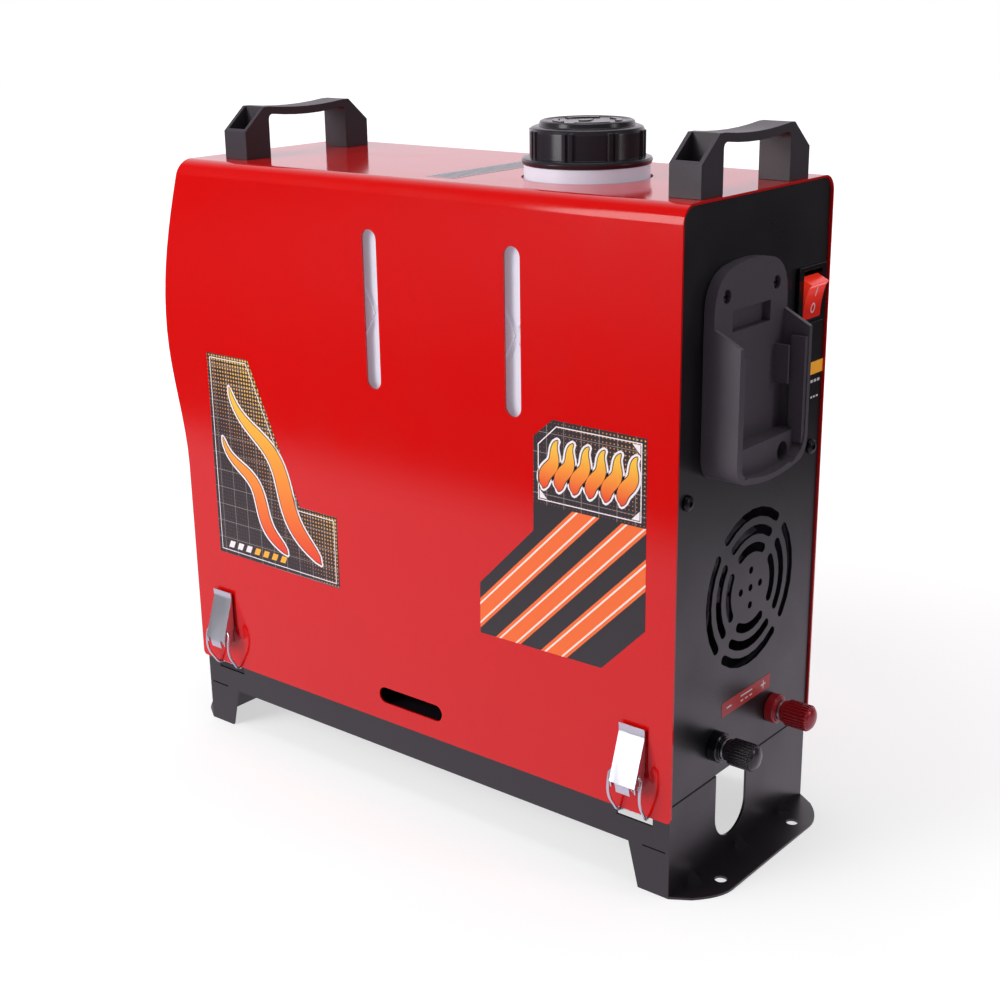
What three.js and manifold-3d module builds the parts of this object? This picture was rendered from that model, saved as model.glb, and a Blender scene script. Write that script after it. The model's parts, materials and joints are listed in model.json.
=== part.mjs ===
// A portable diesel air heater: a red folded cover over a dark sheet-metal base, a fuel tank above
// a finned heater core, a black control panel at the +X end and a hot-air outlet at the -X end.
// Units are millimetres and +Z is up. The origin is the middle of the whole object on the floor.

import * as THREE from 'three';
import { mergeVertices } from 'three/addons/utils/BufferGeometryUtils.js';
import Module from 'manifold-3d';

const wasm = await Module();
wasm.setup();

// ---------------------------------------------------------------- driving dimensions

const seat = 0.3;                 // gap left between pieces that touch
const sheet = 1.2;                // cover sheet
const plate = 1.5;                // base and end-panel sheet

const coverWidth = 150;
const coverTop = 379;
const coverBottom = 47;
const coverOver = { control: 1.5, outlet: 3 };    // the cover stands over the base's end walls
const coverBend = 9.5;            // outer radius of the two top bends
const coverCorner = 3;            // radius of the lower corners of the sheet
const waveStart = 180;            // height where the outlet edge starts to swell
const waveCrest = 272;
const waveBulge = 12;
const waveLean = 24;              // how far the edge comes back in above the crest

const panelRecess = 1.2;          // both end panels sit this far inside the cover's edge
const panelBottom = 57;
const baseHalfLength = 187;
const deckTop = 56.7;
const skirtBottom = 27;
const footWidth = 20;             // of a foot on the floor
const footFlare = 7;              // how much wider a foot is at the skirt
const flangeWidth = 23;
const flangeHoleOut = 13;         // from the end wall to the holes of the flange
const flangeHoleY = 40;
const flangeHoleRadius = 3.5;
const gussetPitch = 50;
const notchY = -10;               // cable notch in the control end of the base
const notchRadius = 16.5;
const notchBottom = 12.5;

const slotWidth = 11;
const slotLow = 258;
const slotHigh = 350;
const slotsX = [-19.6, 83];
const airSlotLength = 51;
const airSlotLow = 59;
const airSlotHeight = 10.5;

const tankGap = { outlet: 32, control: 38.5 };    // from the cover's ends to the tank
const tankFront = 70;             // half width of the tank
const tankTop = 366;
const tankWall = 3;
const tankCorner = 14;
const shelfBottom = 224.5;
const neckInset = 68;             // from the tank's control end to the neck
const neckY = -7;
const neckRadius = 34.5;
const neckBore = 24.5;
const threadRadius = 28.4;
const capRise = 8;                // cap's flange above the cover
const capHeight = 22.4;
const capRadius = 31.4;
const capFlange = 35.9;
const capWall = 6;                // roof of the cap, groove and raised disc included
const capLugPairs = 8;
const capLugStart = 17;           // degrees from +X to the first pair of lugs
const sealHeight = 2.2;

const handleLength = 106;
const handleWidth = 19;
const handleHeight = 30.2;
const handleFoot = 20;
const handleFace = 16.5;          // height of the upright outer face of a foot
const handleSlope = 16.3;         // length of the slanted face above it
const handleGrip = 4.8;           // thickness of the grip
const handleSag = 1.8;            // dip of the grip's top in the middle
const handleInset = { left: 42.5, right: 12.5 };  // from the cover's ends to the handles
const handleY = -2;
const boltRadius = 3;
const boltInset = 9.3;            // from a handle's end to the middle of its bolt
const pocketLength = 15;
const handlePocket = 6;           // floor of the bolt pocket above the foot's sole

const axisY = 3;                  // common axis of grille, fan, motor and outlet
const axisZ = 160;
const grilleOuter = 46;
const grilleSlot = 5.5;           // width of one ring of slots
const grillePitch = 10;
const grilleBar = 7;              // width of the diagonal bars between the slots
const grilleHoleRadius = 2.2;
const grilleHolePitch = 10.3;
const fanRadius = 43;
const fanBlades = 8;
const casingRoom = 19;            // left beside the casing, less its shift, for filter and lines
const casingWall = 2.5;
const casingInset = { outlet: 12, control: 4 };   // from each end of the cover to the casing
const outletRadius = 39.5;
const outletStand = 22;           // of the outlet collar beyond the cover
const outletWall = 2.5;
const louvreSlats = 5;

const postY = { black: -30.5, red: 31 };
const postZ = 76.7;
const postReach = 28.5;
const postBase = 8.6;
const postCollar = 5.4;           // thickness of the insulating collar
const postStep = 1.6;             // height of the smaller step on the collar
const postNeck = 5.4;
const postNut = 4;                // thickness of the nut behind the panel
const knobRadius = 7.9;
const knobRibs = 26;
const studRadius = 3;

const cradleY = -17;
const cradleBottom = 232.5;
const cradleHeight = 114;
const cradleWidth = 72;
const cradleDepth = 22;
const cradlePlate = 6.5;
const cradleWall = 3;
const cradleShelf = 19;
const cradleScrewSide = 24.5;
const cradleScrewDown = 16;       // below the cradle's top
const cradleSlant = 8;            // height of the slanted shoulders of the side walls
const cradleOpen = 31;            // from the cradle's top to the shoulders
const cradleRecess = { half: 18.7, down: 24.3, height: 11, depth: 4.5 };
const cradleRail = { width: 3, depth: 9, low: 12, down: 5.5 };
const cradleTab = { inset: 8.5, depth: 8.7, down: 9.5, height: 20.6 };
const cordExit = { side: 20, up: 9.2, radius: 5.4 };

const switchY = 54.2;
const switchZ = 316;
const switchWidth = 30;
const switchHeight = 32;
const bezelThick = 2;
const switchBody = { y: 11.6, z: 14.8, depth: 22 };
const rockerHalf = { y: 9.6, z: 11.5 };
const rockerReach = 9.5;          // pivot to the tips of the rocker's face
const rockerPivot = -4.6;         // behind the panel's face
const rockerTilt = 12;            // degrees each way from level

const latchInset = 23;            // from the end wall to the middle of a latch
const leverHalf = 8.4;
const leverPivot = { out: 7.4, up: 66.9 };
const bailPivot = { out: 7.6, up: 73.5 };
const wireRadius = 0.9;
const bailHalf = 9.2;             // half width of the bail where it enters its window
const bailBow = 10.3;             // half width of the bail beside the lever
const windowHalf = 12;
const windowHeight = 6.1;

const panelScrewY = 64;
const panelScrewZ = 227;
const screwRadius = 2;
const screwLength = 8;
const smallScrew = 1.4;
const smallHead = 3.4;
const smallScrewLength = 9;

const shaftRadius = 4;
const fanGap = 15.8;              // from the panel's back to the fan
const fanDepth = 24;
const fanLead = 94;               // from the motor's back to the fan
const fanHub = 15;
const motorRadius = 29;
const motorLength = 62;
const burnerLength = 42;
const burnerRadius = 36;
const burnerFlange = 44;
const exchangerCore = 32;
const exchangerGap = 18;          // from the casing's outlet wall to the fins
const finCount = 12;
const stubTop = 112;
const stubBottom = 22;
const stubWall = 1.5;
const exhaustX = -110;
const exhaustRadius = 12;
const intakeX = -60;
const intakeRadius = 13;
const bracketLength = 50;
const bracketLap = 10;            // of the bracket under the burner
const bracketHalf = 30;
const bracketFoot = 8;

const hoseRadius = 3.2;
const spigotRadius = 2.4;
const pumpRadius = 14;
const pumpY = -48;
const pumpLength = 56;
const pumpLead = 22;              // from the burner's fuel port to the pump
const filterInset = 22;           // from the tank's control end to the filter
const filterGap = 0.5;            // between the filter and the casing
const filterRadius = 8.5;
const filterLow = 190;
const socketDepth = 10;
const portLead = 14;              // from the burner's back to its fuel port
const portY = -9;
const portTop = 112;
const unitWidth = 64;
const unitHeight = 50;
const unitDepth = 17;
const unitBelow = 11;             // from the cradle's screws down to the control unit

// ---------------------------------------------------------------- derived sizes

const coverRight = baseHalfLength + coverOver.control;
const coverLeft = baseHalfLength + coverOver.outlet;
const coverHalf = coverWidth / 2;
const casingHalf = coverHalf - casingRoom;
const coverInner = coverHalf - sheet;
const skirtOuter = coverInner - seat;
const panelHalf = coverInner - seat;
const panelTop = coverTop - sheet - seat;
const panelCorner = coverBend - sheet - seat;
const panelFace = coverRight - panelRecess;
const panelBack = panelFace - plate;
const outletFace = -coverLeft + panelRecess;
const casingLeft = -coverLeft + casingInset.outlet;
const casingRight = coverRight - casingInset.control;
const outletReach = coverLeft + outletStand;
const pastOutlet = coverLeft + waveBulge + 10;
const footOuter = baseHalfLength;
const footToe = baseHalfLength - footWidth;
const footTop = footToe - footFlare;
const flangeReach = baseHalfLength + flangeWidth;
const flangeHoleX = baseHalfLength + flangeHoleOut;
const latchX = baseHalfLength - latchInset;
const controlReach = Math.max(flangeReach, panelFace + postReach);
const originShift = (controlReach - outletReach) / 2;
const deckBottom = deckTop - plate;
const shelfTop = shelfBottom + plate;
const tankLeft = -coverLeft + tankGap.outlet;
const tankRight = coverRight - tankGap.control;
const neckX = tankRight - neckInset;
const handleX = { left: -coverLeft + handleInset.left, right: coverRight - handleInset.right };
const tankBottom = shelfTop + seat;
const capBottom = coverTop + capRise;
const capTop = capBottom + capHeight;
const capCeiling = capTop - capWall;
const capBore = threadRadius + 0.7;
const fanFront = panelBack - fanGap;
const fanBack = fanFront - fanDepth;
const fanMiddle = (fanBack + fanFront) / 2;
const motorBack = fanBack - fanLead;
const burnerBack = motorBack - burnerLength;
const bracketTo = burnerBack + bracketLap;
const bracketFrom = bracketTo - bracketLength;
const fuelPort = [burnerBack + portLead, portY];
const pumpFrom = fuelPort[0] + pumpLead;
const pumpTo = pumpFrom + pumpLength;
const filterX = tankRight - filterInset;
const filterY = axisY - casingHalf - filterGap - filterRadius;
const washerBack = postCollar + postStep + seat;
const knobBack = washerBack + 1.2 + seat;
const pumpZ = deckTop + seat + pumpRadius + 3;
const pumpCentre = [pumpY, pumpZ];
const filterCentre = [filterX, filterY];
const filterHigh = tankBottom - socketDepth - seat;
const windowTop = coverBottom + 0.2;
const windowBottom = windowTop - windowHeight;
const barHeight = windowTop - seat - wireRadius;
const barOut = skirtOuter - plate / 2 - coverHalf;
const boltOffset = handleLength / 2 - boltInset;
const stubs = [
  { name: 'exhaust_stub', x: exhaustX, radius: exhaustRadius },
  { name: 'intake_stub', x: intakeX, radius: intakeRadius },
];
const cradleScrewPlaces = [-1, 1].map((side) => (
  [cradleY + side * cradleScrewSide, cradleBottom + cradleHeight - cradleScrewDown]));

// ---------------------------------------------------------------- shape helpers

const heater = new THREE.Group();
heater.position.x = -originShift;

function finish(color, roughness, metalness = 0) {
  return new THREE.MeshStandardMaterial({ color, roughness, metalness });
}

const redPaint = finish(0xd3180f, 0.18);
const darkPaint = finish(0x48404a, 0.45);
const blackPaint = finish(0x26232a, 0.4);
const blackPlastic = finish(0x2b282c, 0.55);
const glossBlack = finish(0x141314, 0.15);
const zinc = finish(0xc9ccd2, 0.25, 1);
const steel = finish(0x9a9ca2, 0.3, 1);
const blackSteel = finish(0x1c1b1d, 0.35, 0.8);
const castAluminium = finish(0xa6a8ab, 0.5, 1);
const tankPlastic = finish(0xd9d5de, 0.4);
const redPlastic = finish(0x8f1a1c, 0.35);
const rockerPlastic = finish(0xe3200f, 0.2);
const rubber = finish(0x1a1a1b, 0.8);

function signedVolume(position, triangles) {
  const [a, b, c] = [new THREE.Vector3(), new THREE.Vector3(), new THREE.Vector3()];
  let sum = 0;
  for (let i = 0; i < triangles.length; i += 3) {
    a.fromArray(position, triangles[i] * 3);
    b.fromArray(position, triangles[i + 1] * 3);
    c.fromArray(position, triangles[i + 2] * 3);
    sum += a.dot(b.cross(c));
  }
  return sum / 6;
}

// Turns a closed geometry into a solid that can be joined and cut, with its faces pointing out.
function solid(geometry) {
  const bare = geometry.clone();
  bare.deleteAttribute('normal');
  bare.deleteAttribute('uv');
  const merged = mergeVertices(bare, 1e-4);
  const position = merged.attributes.position.array;
  const index = merged.index.array;
  const triangles = [];
  for (let i = 0; i < index.length; i += 3) {
    const [a, b, c] = [index[i], index[i + 1], index[i + 2]];
    if (a !== b && b !== c && c !== a) triangles.push(a, b, c);
  }
  if (signedVolume(position, triangles) < 0) triangles.reverse();
  return new wasm.Manifold(new wasm.Mesh({
    numProp: 3,
    vertProperties: new Float32Array(position),
    triVerts: new Uint32Array(triangles),
  }));
}

function join(...shapes) {
  return shapes.reduce((whole, shape) => whole.add(shape));
}

function cut(shape, ...tools) {
  return tools.reduce((rest, tool) => rest.subtract(tool), shape);
}

function geometryOf(shape) {
  const { vertProperties, triVerts } = shape.getMesh();
  const geometry = new THREE.BufferGeometry();
  geometry.setAttribute('position', new THREE.BufferAttribute(vertProperties, 3));
  geometry.setIndex(new THREE.BufferAttribute(triVerts, 1));
  return geometry;
}

// The same solid, spun about the upright axis and then moved.
function spun(shape, angle, place = [0, 0, 0]) {
  return solid(geometryOf(shape).rotateZ(angle).translate(...place));
}

// Adds one named part; place moves it and turn spins it about the upright axis.
function addPart(name, shape, material, place = [0, 0, 0], turn = 0) {
  const flat = geometryOf(shape).toNonIndexed();
  flat.computeVertexNormals();
  const mesh = new THREE.Mesh(flat, material);
  mesh.name = name;
  mesh.position.set(...place);
  mesh.rotation.z = turn;
  heater.add(mesh);
}

function box(x0, x1, y0, y1, z0, z1) {
  const geometry = new THREE.BoxGeometry(x1 - x0, y1 - y0, z1 - z0);
  return solid(geometry.translate((x0 + x1) / 2, (y0 + y1) / 2, (z0 + z1) / 2));
}

const unitX = new THREE.Vector3(1, 0, 0);
const unitY = new THREE.Vector3(0, 1, 0);
const unitZ = new THREE.Vector3(0, 0, 1);

function extruded(profile, length, arcSteps) {
  return new THREE.ExtrudeGeometry(profile, {
    depth: length, bevelEnabled: false, curveSegments: arcSteps,
  });
}

// A profile drawn in Y and Z, carried along X.
function alongX(profile, from, to, arcSteps = 6) {
  const stand = new THREE.Matrix4().makeBasis(unitY, unitZ, unitX);
  return solid(extruded(profile, to - from, arcSteps).applyMatrix4(stand).translate(from, 0, 0));
}

// A profile drawn in X and Z, carried along Y.
function alongY(profile, from, to, arcSteps = 6) {
  const stand = new THREE.Matrix4().makeBasis(unitX, unitZ, unitY.clone().negate());
  return solid(extruded(profile, to - from, arcSteps).applyMatrix4(stand).translate(0, to, 0));
}

// A profile drawn in X and Y, carried along Z.
function alongZ(profile, from, to, arcSteps = 6) {
  return solid(extruded(profile, to - from, arcSteps).translate(0, 0, from));
}

function roundedBox(u, v, width, height, radius) {
  const shape = new THREE.Shape();
  const [w, h] = [width / 2 - radius, height / 2 - radius];
  shape.absarc(u + w, v - h, radius, -Math.PI / 2, 0);
  shape.absarc(u + w, v + h, radius, 0, Math.PI / 2);
  shape.absarc(u - w, v + h, radius, Math.PI / 2, Math.PI);
  shape.absarc(u - w, v - h, radius, Math.PI, Math.PI * 1.5);
  return shape;
}

function rectangle(u0, u1, v0, v1) {
  return polygon([[u0, v0], [u1, v0], [u1, v1], [u0, v1]]);
}

function polygon(points) {
  return new THREE.Shape(points.map(([u, v]) => new THREE.Vector2(u, v)));
}

function disc(u, v, radius) {
  return new THREE.Shape().absarc(u, v, radius, 0, Math.PI * 2);
}

// A rod between two stations on one of the axes; centre gives the other two coordinates.
function rod(axis, centre, radius, from, to, sides = 16) {
  const geometry = new THREE.CylinderGeometry(radius, radius, to - from, sides);
  const middle = (from + to) / 2;
  if (axis === 'x') return solid(geometry.rotateZ(-Math.PI / 2).translate(middle, ...centre));
  if (axis === 'y') return solid(geometry.translate(centre[0], middle, centre[1]));
  return solid(geometry.rotateX(Math.PI / 2).translate(...centre, middle));
}

// A profile of [radius, station] points turned about the X or Z axis through centre.
function turned(axis, centre, profile, sides = 32) {
  const points = profile.map(([radius, station]) => new THREE.Vector2(radius, station));
  const geometry = new THREE.LatheGeometry(points, sides);
  if (axis === 'x') return solid(geometry.rotateZ(-Math.PI / 2).translate(0, ...centre));
  return solid(geometry.rotateX(Math.PI / 2).translate(...centre, 0));
}

// A round bar bent through points, with flat ends.
function bentBar(points, radius, steps, sides = 6) {
  const path = new THREE.CatmullRomCurve3(points.map((p) => new THREE.Vector3(...p)), false, 'centripetal');
  const section = new THREE.Shape();
  for (let i = 0; i < sides; i += 1) {
    const angle = (i / sides) * Math.PI * 2;
    const corner = [radius * Math.cos(angle), radius * Math.sin(angle)];
    if (i === 0) section.moveTo(...corner);
    else section.lineTo(...corner);
  }
  return solid(new THREE.ExtrudeGeometry(section, { steps, extrudePath: path, bevelEnabled: false }));
}

// ---------------------------------------------------------------- cover

// Distance from the middle of the base to the cover's outlet edge at a height: straight at first,
// then a soft swell to the crest, then a quarter wave that leans back in to the top.
function outletEdge(z) {
  if (z < waveStart) return coverLeft;
  if (z < waveCrest) {
    const rise = (z - waveStart) / (waveCrest - waveStart);
    return coverLeft + waveBulge * (1 - Math.cos(Math.PI * rise)) / 2;
  }
  const fall = (z - waveCrest) / (coverTop - waveCrest);
  return coverLeft + waveBulge - waveLean * (1 - Math.cos(Math.PI * fall / 2));
}

// The outlet edge as [x, z] points from low to high, moved in by an inset.
function outletCurve(inset, low, high, steps) {
  const points = [];
  for (let i = 0; i <= steps; i += 1) {
    const z = low + (high - low) * i / steps;
    points.push([-outletEdge(z) + inset, z]);
  }
  return points;
}

function archProfile(half, top, bottom, bend) {
  const shape = new THREE.Shape();
  shape.moveTo(half, bottom);
  shape.lineTo(half, top - bend);
  shape.absarc(half - bend, top - bend, bend, 0, Math.PI / 2);
  shape.absarc(-half + bend, top - bend, bend, Math.PI / 2, Math.PI);
  shape.lineTo(-half, bottom);
  return shape;
}

function uprightSlot(x, low, high, width) {
  return roundedBox(x, (low + high) / 2, width, high - low, width / 2 - 0.01);
}

function coverShell() {
  const outer = archProfile(coverHalf, coverTop, coverBottom, coverBend);
  const inner = archProfile(coverInner, coverTop - sheet, coverBottom - 1, coverBend - sheet);
  const arch = cut(
    alongX(outer, -pastOutlet, coverRight),
    alongX(inner, -pastOutlet - 1, coverRight + 1),
  );
  const outline = new THREE.Shape();
  outline.absarc(coverRight - coverCorner, coverBottom + coverCorner, coverCorner, -Math.PI / 2, 0);
  outline.lineTo(coverRight, coverTop + 1);
  const edge = outletCurve(0, waveStart - 20, coverTop, 20).reverse();
  outline.lineTo(edge[0][0], coverTop + 1);
  edge.forEach(([x, z]) => outline.lineTo(x, z));
  const lowCorner = [-coverLeft + coverCorner, coverBottom + coverCorner];
  outline.absarc(...lowCorner, coverCorner, Math.PI, Math.PI * 1.5);
  let shell = arch.intersect(alongY(outline, -coverHalf - 1, coverHalf + 1));
  const front = [-coverHalf - 1, -coverInner + 1];
  for (const x of slotsX) {
    shell = cut(shell, alongY(uprightSlot(x, slotLow, slotHigh, slotWidth), ...front));
  }
  const airMiddle = airSlotLow + airSlotHeight / 2;
  const airSlot = roundedBox(0, airMiddle, airSlotLength, airSlotHeight, airSlotHeight / 2 - 0.01);
  shell = cut(shell, alongY(airSlot, -coverHalf - 1, coverHalf + 1));
  const roof = [coverTop - coverBend, coverTop + 1];
  shell = cut(shell, rod('z', [neckX, neckY], neckRadius + 1.5, ...roof, 48));
  for (const [x, y] of boltPlaces()) {
    shell = cut(shell, rod('z', [x, y], boltRadius + seat, ...roof, 12));
  }
  return shell;
}

// ---------------------------------------------------------------- base

function flangeOutline(reach) {
  const shape = new THREE.Shape();
  shape.moveTo(baseHalfLength - plate, -skirtOuter);
  shape.lineTo(baseHalfLength, -skirtOuter);
  shape.lineTo(baseHalfLength + 11, -skirtOuter + 7);
  shape.quadraticCurveTo(reach, -skirtOuter + 19, reach, -skirtOuter + 30);
  shape.lineTo(reach, skirtOuter - 30);
  shape.quadraticCurveTo(reach, skirtOuter - 19, baseHalfLength + 11, skirtOuter - 7);
  shape.lineTo(baseHalfLength, skirtOuter);
  shape.lineTo(baseHalfLength - plate, skirtOuter);
  return shape;
}

// A pressed stiffener on the bend between end wall and flange: a three-sided pyramid.
function gusset(y) {
  const foot = [baseHalfLength - 0.4, plate - 0.4];
  const corners = [
    [foot[0], y - 4.5, foot[1]], [foot[0], y + 4.5, foot[1]],
    [foot[0], y, foot[1] + 8], [foot[0] + 8, y, foot[1]],
  ];
  const geometry = new THREE.BufferGeometry();
  geometry.setAttribute('position', new THREE.Float32BufferAttribute(corners.flat(), 3));
  geometry.setIndex([0, 2, 1, 0, 3, 2, 1, 2, 3, 0, 1, 3]);
  return solid(geometry);
}

// The flange with its two fixing holes and three stiffeners, at the control end.
function flange() {
  const sheetPart = alongZ(flangeOutline(flangeReach), 0, plate, 6);
  const holes = [-1, 1].map((side) => (
    rod('z', [flangeHoleX, side * flangeHoleY], flangeHoleRadius, -1, plate + 1, 16)));
  const stiffeners = [-gussetPitch, 0, gussetPitch].map(gusset);
  return join(cut(sheetPart, ...holes), ...stiffeners);
}

// The window in the skirt that a bail hooks into, under the cover's lower edge.
function bailWindow(x) {
  const outline = rectangle(x - windowHalf, x + windowHalf, windowBottom, windowTop);
  return alongY(outline, -coverHalf, -skirtOuter + plate + 1);
}

function baseChassis() {
  const inner = baseHalfLength - plate;
  const acrossY = [-coverHalf, coverHalf];
  const between = polygon([
    [-footToe, -1], [footToe, -1], [footTop, skirtBottom], [-footTop, skirtBottom],
  ]);
  const chamfer = polygon([
    [inner, deckTop + 0.5], [baseHalfLength + 1, deckTop + 0.5], [baseHalfLength + 1, deckBottom - 1],
  ]);
  const notch = roundedBox(notchY, notchBottom + deckTop, 2 * notchRadius, 2 * deckTop, notchRadius - 0.01);
  let tray = cut(
    box(-baseHalfLength, baseHalfLength, -skirtOuter, skirtOuter, 0, deckTop),
    box(-inner, inner, -skirtOuter + plate, skirtOuter - plate, -1, deckBottom),
    alongY(between, ...acrossY),
    alongY(chamfer, ...acrossY),
    spun(alongY(chamfer, ...acrossY), Math.PI),
    alongX(notch, baseHalfLength - 14, baseHalfLength + 1, 8),
  );
  for (const side of [-1, 1]) {
    const middle = side * (footOuter - 10);
    const slit = rectangle(middle - 7.5, middle + 7.5, skirtBottom + 0.3, skirtBottom + 1.2);
    tray = cut(tray, alongY(slit, ...acrossY));
  }
  for (const stub of stubs) {
    const hole = rod('z', [stub.x, axisY], stub.radius + seat, deckBottom - 1, deckTop + 1, 16);
    tray = cut(tray, hole);
  }
  tray = join(tray, flange(), spun(flange(), Math.PI));
  for (const place of latchPlaces) {
    tray = cut(tray, spun(bailWindow(0), place.turn, [place.x, 0, 0]));
  }
  return tray;
}

// ---------------------------------------------------------------- end panels

function endOutline() {
  return archProfile(panelHalf, panelTop, panelBottom, panelCorner);
}

// One arc-shaped slot of the grille, between two radii and two angles, with round ends.
function arcSlot(inner, outer, start, end) {
  const middle = (inner + outer) / 2;
  const round = (outer - inner) / 2;
  const shape = new THREE.Shape();
  const at = (radius, angle) => [axisY + radius * Math.cos(angle), axisZ + radius * Math.sin(angle)];
  shape.absarc(axisY, axisZ, outer, start, end);
  shape.absarc(...at(middle, end), round, end, end + Math.PI);
  shape.absarc(axisY, axisZ, inner, end, start, true);
  shape.absarc(...at(middle, start), round, start + Math.PI, start + Math.PI * 2);
  return shape;
}

// Three rings of four slots, parted by four diagonal bars, round a middle disc with five holes.
function grilleCutters() {
  const through = [panelBack - 1, panelFace + 1];
  const cutters = [];
  for (let ring = 0; ring < 3; ring += 1) {
    const outer = grilleOuter - ring * grillePitch;
    const middle = outer - grilleSlot / 2;
    const clearance = (grilleSlot / 2 + grilleBar / 2) / middle;
    for (let quarter = 0; quarter < 4; quarter += 1) {
      const start = Math.PI / 4 + quarter * Math.PI / 2;
      const slot = arcSlot(outer - grilleSlot, outer, start + clearance, start + Math.PI / 2 - clearance);
      cutters.push(alongX(slot, ...through, 3));
    }
  }
  const holes = [[0, 0], [1, 0], [-1, 0], [0, 1], [0, -1]];
  for (const [y, z] of holes) {
    const centre = [axisY + y * grilleHolePitch, axisZ + z * grilleHolePitch];
    cutters.push(rod('x', centre, grilleHoleRadius, ...through, 10));
  }
  return cutters;
}

function controlPanel() {
  const foot = box(panelBack - 15, panelBack + 0.5, -panelHalf + 8, panelHalf - 8,
    panelBottom, panelBottom + plate);
  const notchGap = box(panelBack - 16, panelBack - 0.1, notchY - notchRadius, notchY + notchRadius,
    panelBottom - 1, panelBottom + plate + 1);
  const through = [panelBack - 1, panelFace + 1];
  const window = rectangle(
    switchY - switchBody.y - seat, switchY + switchBody.y + seat,
    switchZ - switchBody.z - seat, switchZ + switchBody.z + seat);
  const holes = [
    alongX(window, ...through),
    ...Object.values(postY).map((y) => rod('x', [y, postZ], postNeck + seat, ...through, 16)),
    ...[-1, 1].map((side) => (
      rod('x', [side * panelScrewY, panelScrewZ], screwRadius + seat, ...through, 10))),
    ...cradleScrewPlaces.map((place) => rod('x', place, smallScrew + seat, ...through, 10)),
  ];
  const face = alongX(endOutline(), panelBack, panelFace, 5);
  return cut(join(face, cut(foot, notchGap)), ...grilleCutters(), ...holes);
}

// The outlet panel is bent to the wave of the cover's edge, with the outlet's hole low down.
function outletPanel() {
  const low = panelBottom;
  const steps = 16;
  const outer = outletCurve(panelRecess, waveStart - 20, panelTop, steps);
  const inner = outletCurve(panelRecess + plate, waveStart - 20, panelTop, steps).reverse();
  const bent = polygon([
    [outletFace, low], ...outer, ...inner, [outletFace + plate, low + plate],
    [outletFace + plate + 15, low + plate], [outletFace + plate + 15, low],
  ]);
  const bentSheet = alongY(bent, -panelHalf, panelHalf);
  const outline = alongX(endOutline(), outletFace - 20, outletFace + 40, 5);
  const holes = [
    rod('x', [axisY, axisZ], outletRadius + seat, outletFace - 5, outletFace + 5, 40),
    ...[-1, 1].map((side) => rod('x', [side * panelScrewY, panelScrewZ], screwRadius + seat,
      -coverLeft - waveBulge, outletFace + 5, 10)),
  ];
  return cut(bentSheet.intersect(outline), ...holes);
}

// Button-head screw with a hexagon socket: its seat is the plane x = 0 and its head points to +X.
function buttonScrew() {
  const head = turned('x', [0, 0], [
    [0, seat], [4.4, seat], [4.2, 1.4], [3.2, 2.3], [0, 2.6]], 14);
  const shank = rod('x', [0, 0], screwRadius, -screwLength, seat + 0.1, 8);
  return cut(join(head, shank), rod('x', [0, 0], 1.7, 1.1, 4, 6));
}

// ---------------------------------------------------------------- shelf, tank and cap

// The shelf carries the tank; its two turned-up ends are what the panels are screwed to.
function tankShelf() {
  const right = panelBack - seat;
  const left = -outletEdge(panelScrewZ - 8) + panelRecess + plate + 1.5;
  const height = [shelfBottom, panelScrewZ + 9];
  const ends = [
    box(right - plate, right, -panelHalf + 3, panelHalf - 3, ...height),
    box(left, left + plate, -panelHalf + 3, panelHalf - 3, ...height),
  ];
  const holes = [-1, 1].map((side) => (
    rod('x', [side * panelScrewY, panelScrewZ], screwRadius + seat, left - 1, right + 1, 10)));
  const hosePass = rod('z', filterCentre, hoseRadius + 2, shelfBottom - 1, shelfTop + 1, 10);
  const floor = box(left, right, -panelHalf + 3, panelHalf - 3, shelfBottom, shelfTop);
  return cut(join(floor, ...ends), ...holes, hosePass);
}

function tankBody(inset, bottom, top) {
  const width = tankRight - tankLeft - 2 * inset;
  const middle = (tankRight + tankLeft) / 2;
  const outline = roundedBox(middle, (bottom + top) / 2, width, top - bottom, tankCorner - inset);
  const plan = roundedBox(middle, 0, width, 2 * (tankFront - inset), tankCorner - inset);
  return alongY(outline, -tankFront + inset, tankFront - inset, 4)
    .intersect(alongZ(plan, bottom, top, 4));
}

// Blow-moulded tank: thin walls, a wide threaded neck, and crossed stiffening grooves in front.
function fuelTank() {
  const collarTop = coverTop + capRise - 1;
  const rim = capCeiling - sealHeight - 2 * seat;
  const collar = rod('z', [neckX, neckY], neckRadius, tankTop - tankWall, collarTop, 40);
  const threads = turned('z', [neckX, neckY], [
    [0, collarTop - 1], [threadRadius - 1, collarTop - 1], [threadRadius - 1, rim], [0, rim]], 36);
  const thread = [0, 1].map((turn) => turned('z', [neckX, neckY], [
    [threadRadius - 2, rim - 5 - turn * 5], [threadRadius - 1, rim - 5 - turn * 5],
    [threadRadius, rim - 4 - turn * 5], [threadRadius - 1, rim - 3 - turn * 5],
    [threadRadius - 2, rim - 3 - turn * 5], [threadRadius - 2, rim - 5 - turn * 5]], 36));
  const socket = rod('z', filterCentre, spigotRadius + 2, tankBottom - socketDepth, tankBottom + 1, 12);
  const outlet = rod('z', filterCentre, spigotRadius + seat, tankBottom - socketDepth - 1,
    tankBottom + 12, 12);
  let tank = join(tankBody(0, tankBottom, tankTop), collar, threads, ...thread, socket);
  tank = cut(tank, tankBody(tankWall, tankBottom + tankWall, tankTop - tankWall));
  tank = cut(tank, rod('z', [neckX, neckY], neckBore, tankTop - 2 * tankWall, rim + 1, 36), outlet);
  for (const x of slotsX) {
    for (const lean of [-1, 1]) {
      const groove = polygon([
        [x - lean * 30 - 2, slotLow - 10], [x - lean * 30 + 2, slotLow - 10],
        [x + lean * 30 + 2, slotHigh + 5], [x + lean * 30 - 2, slotHigh + 5],
      ]);
      tank = cut(tank, alongY(groove, -tankFront - 1, -tankFront + 0.9));
    }
  }
  return tank;
}

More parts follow.
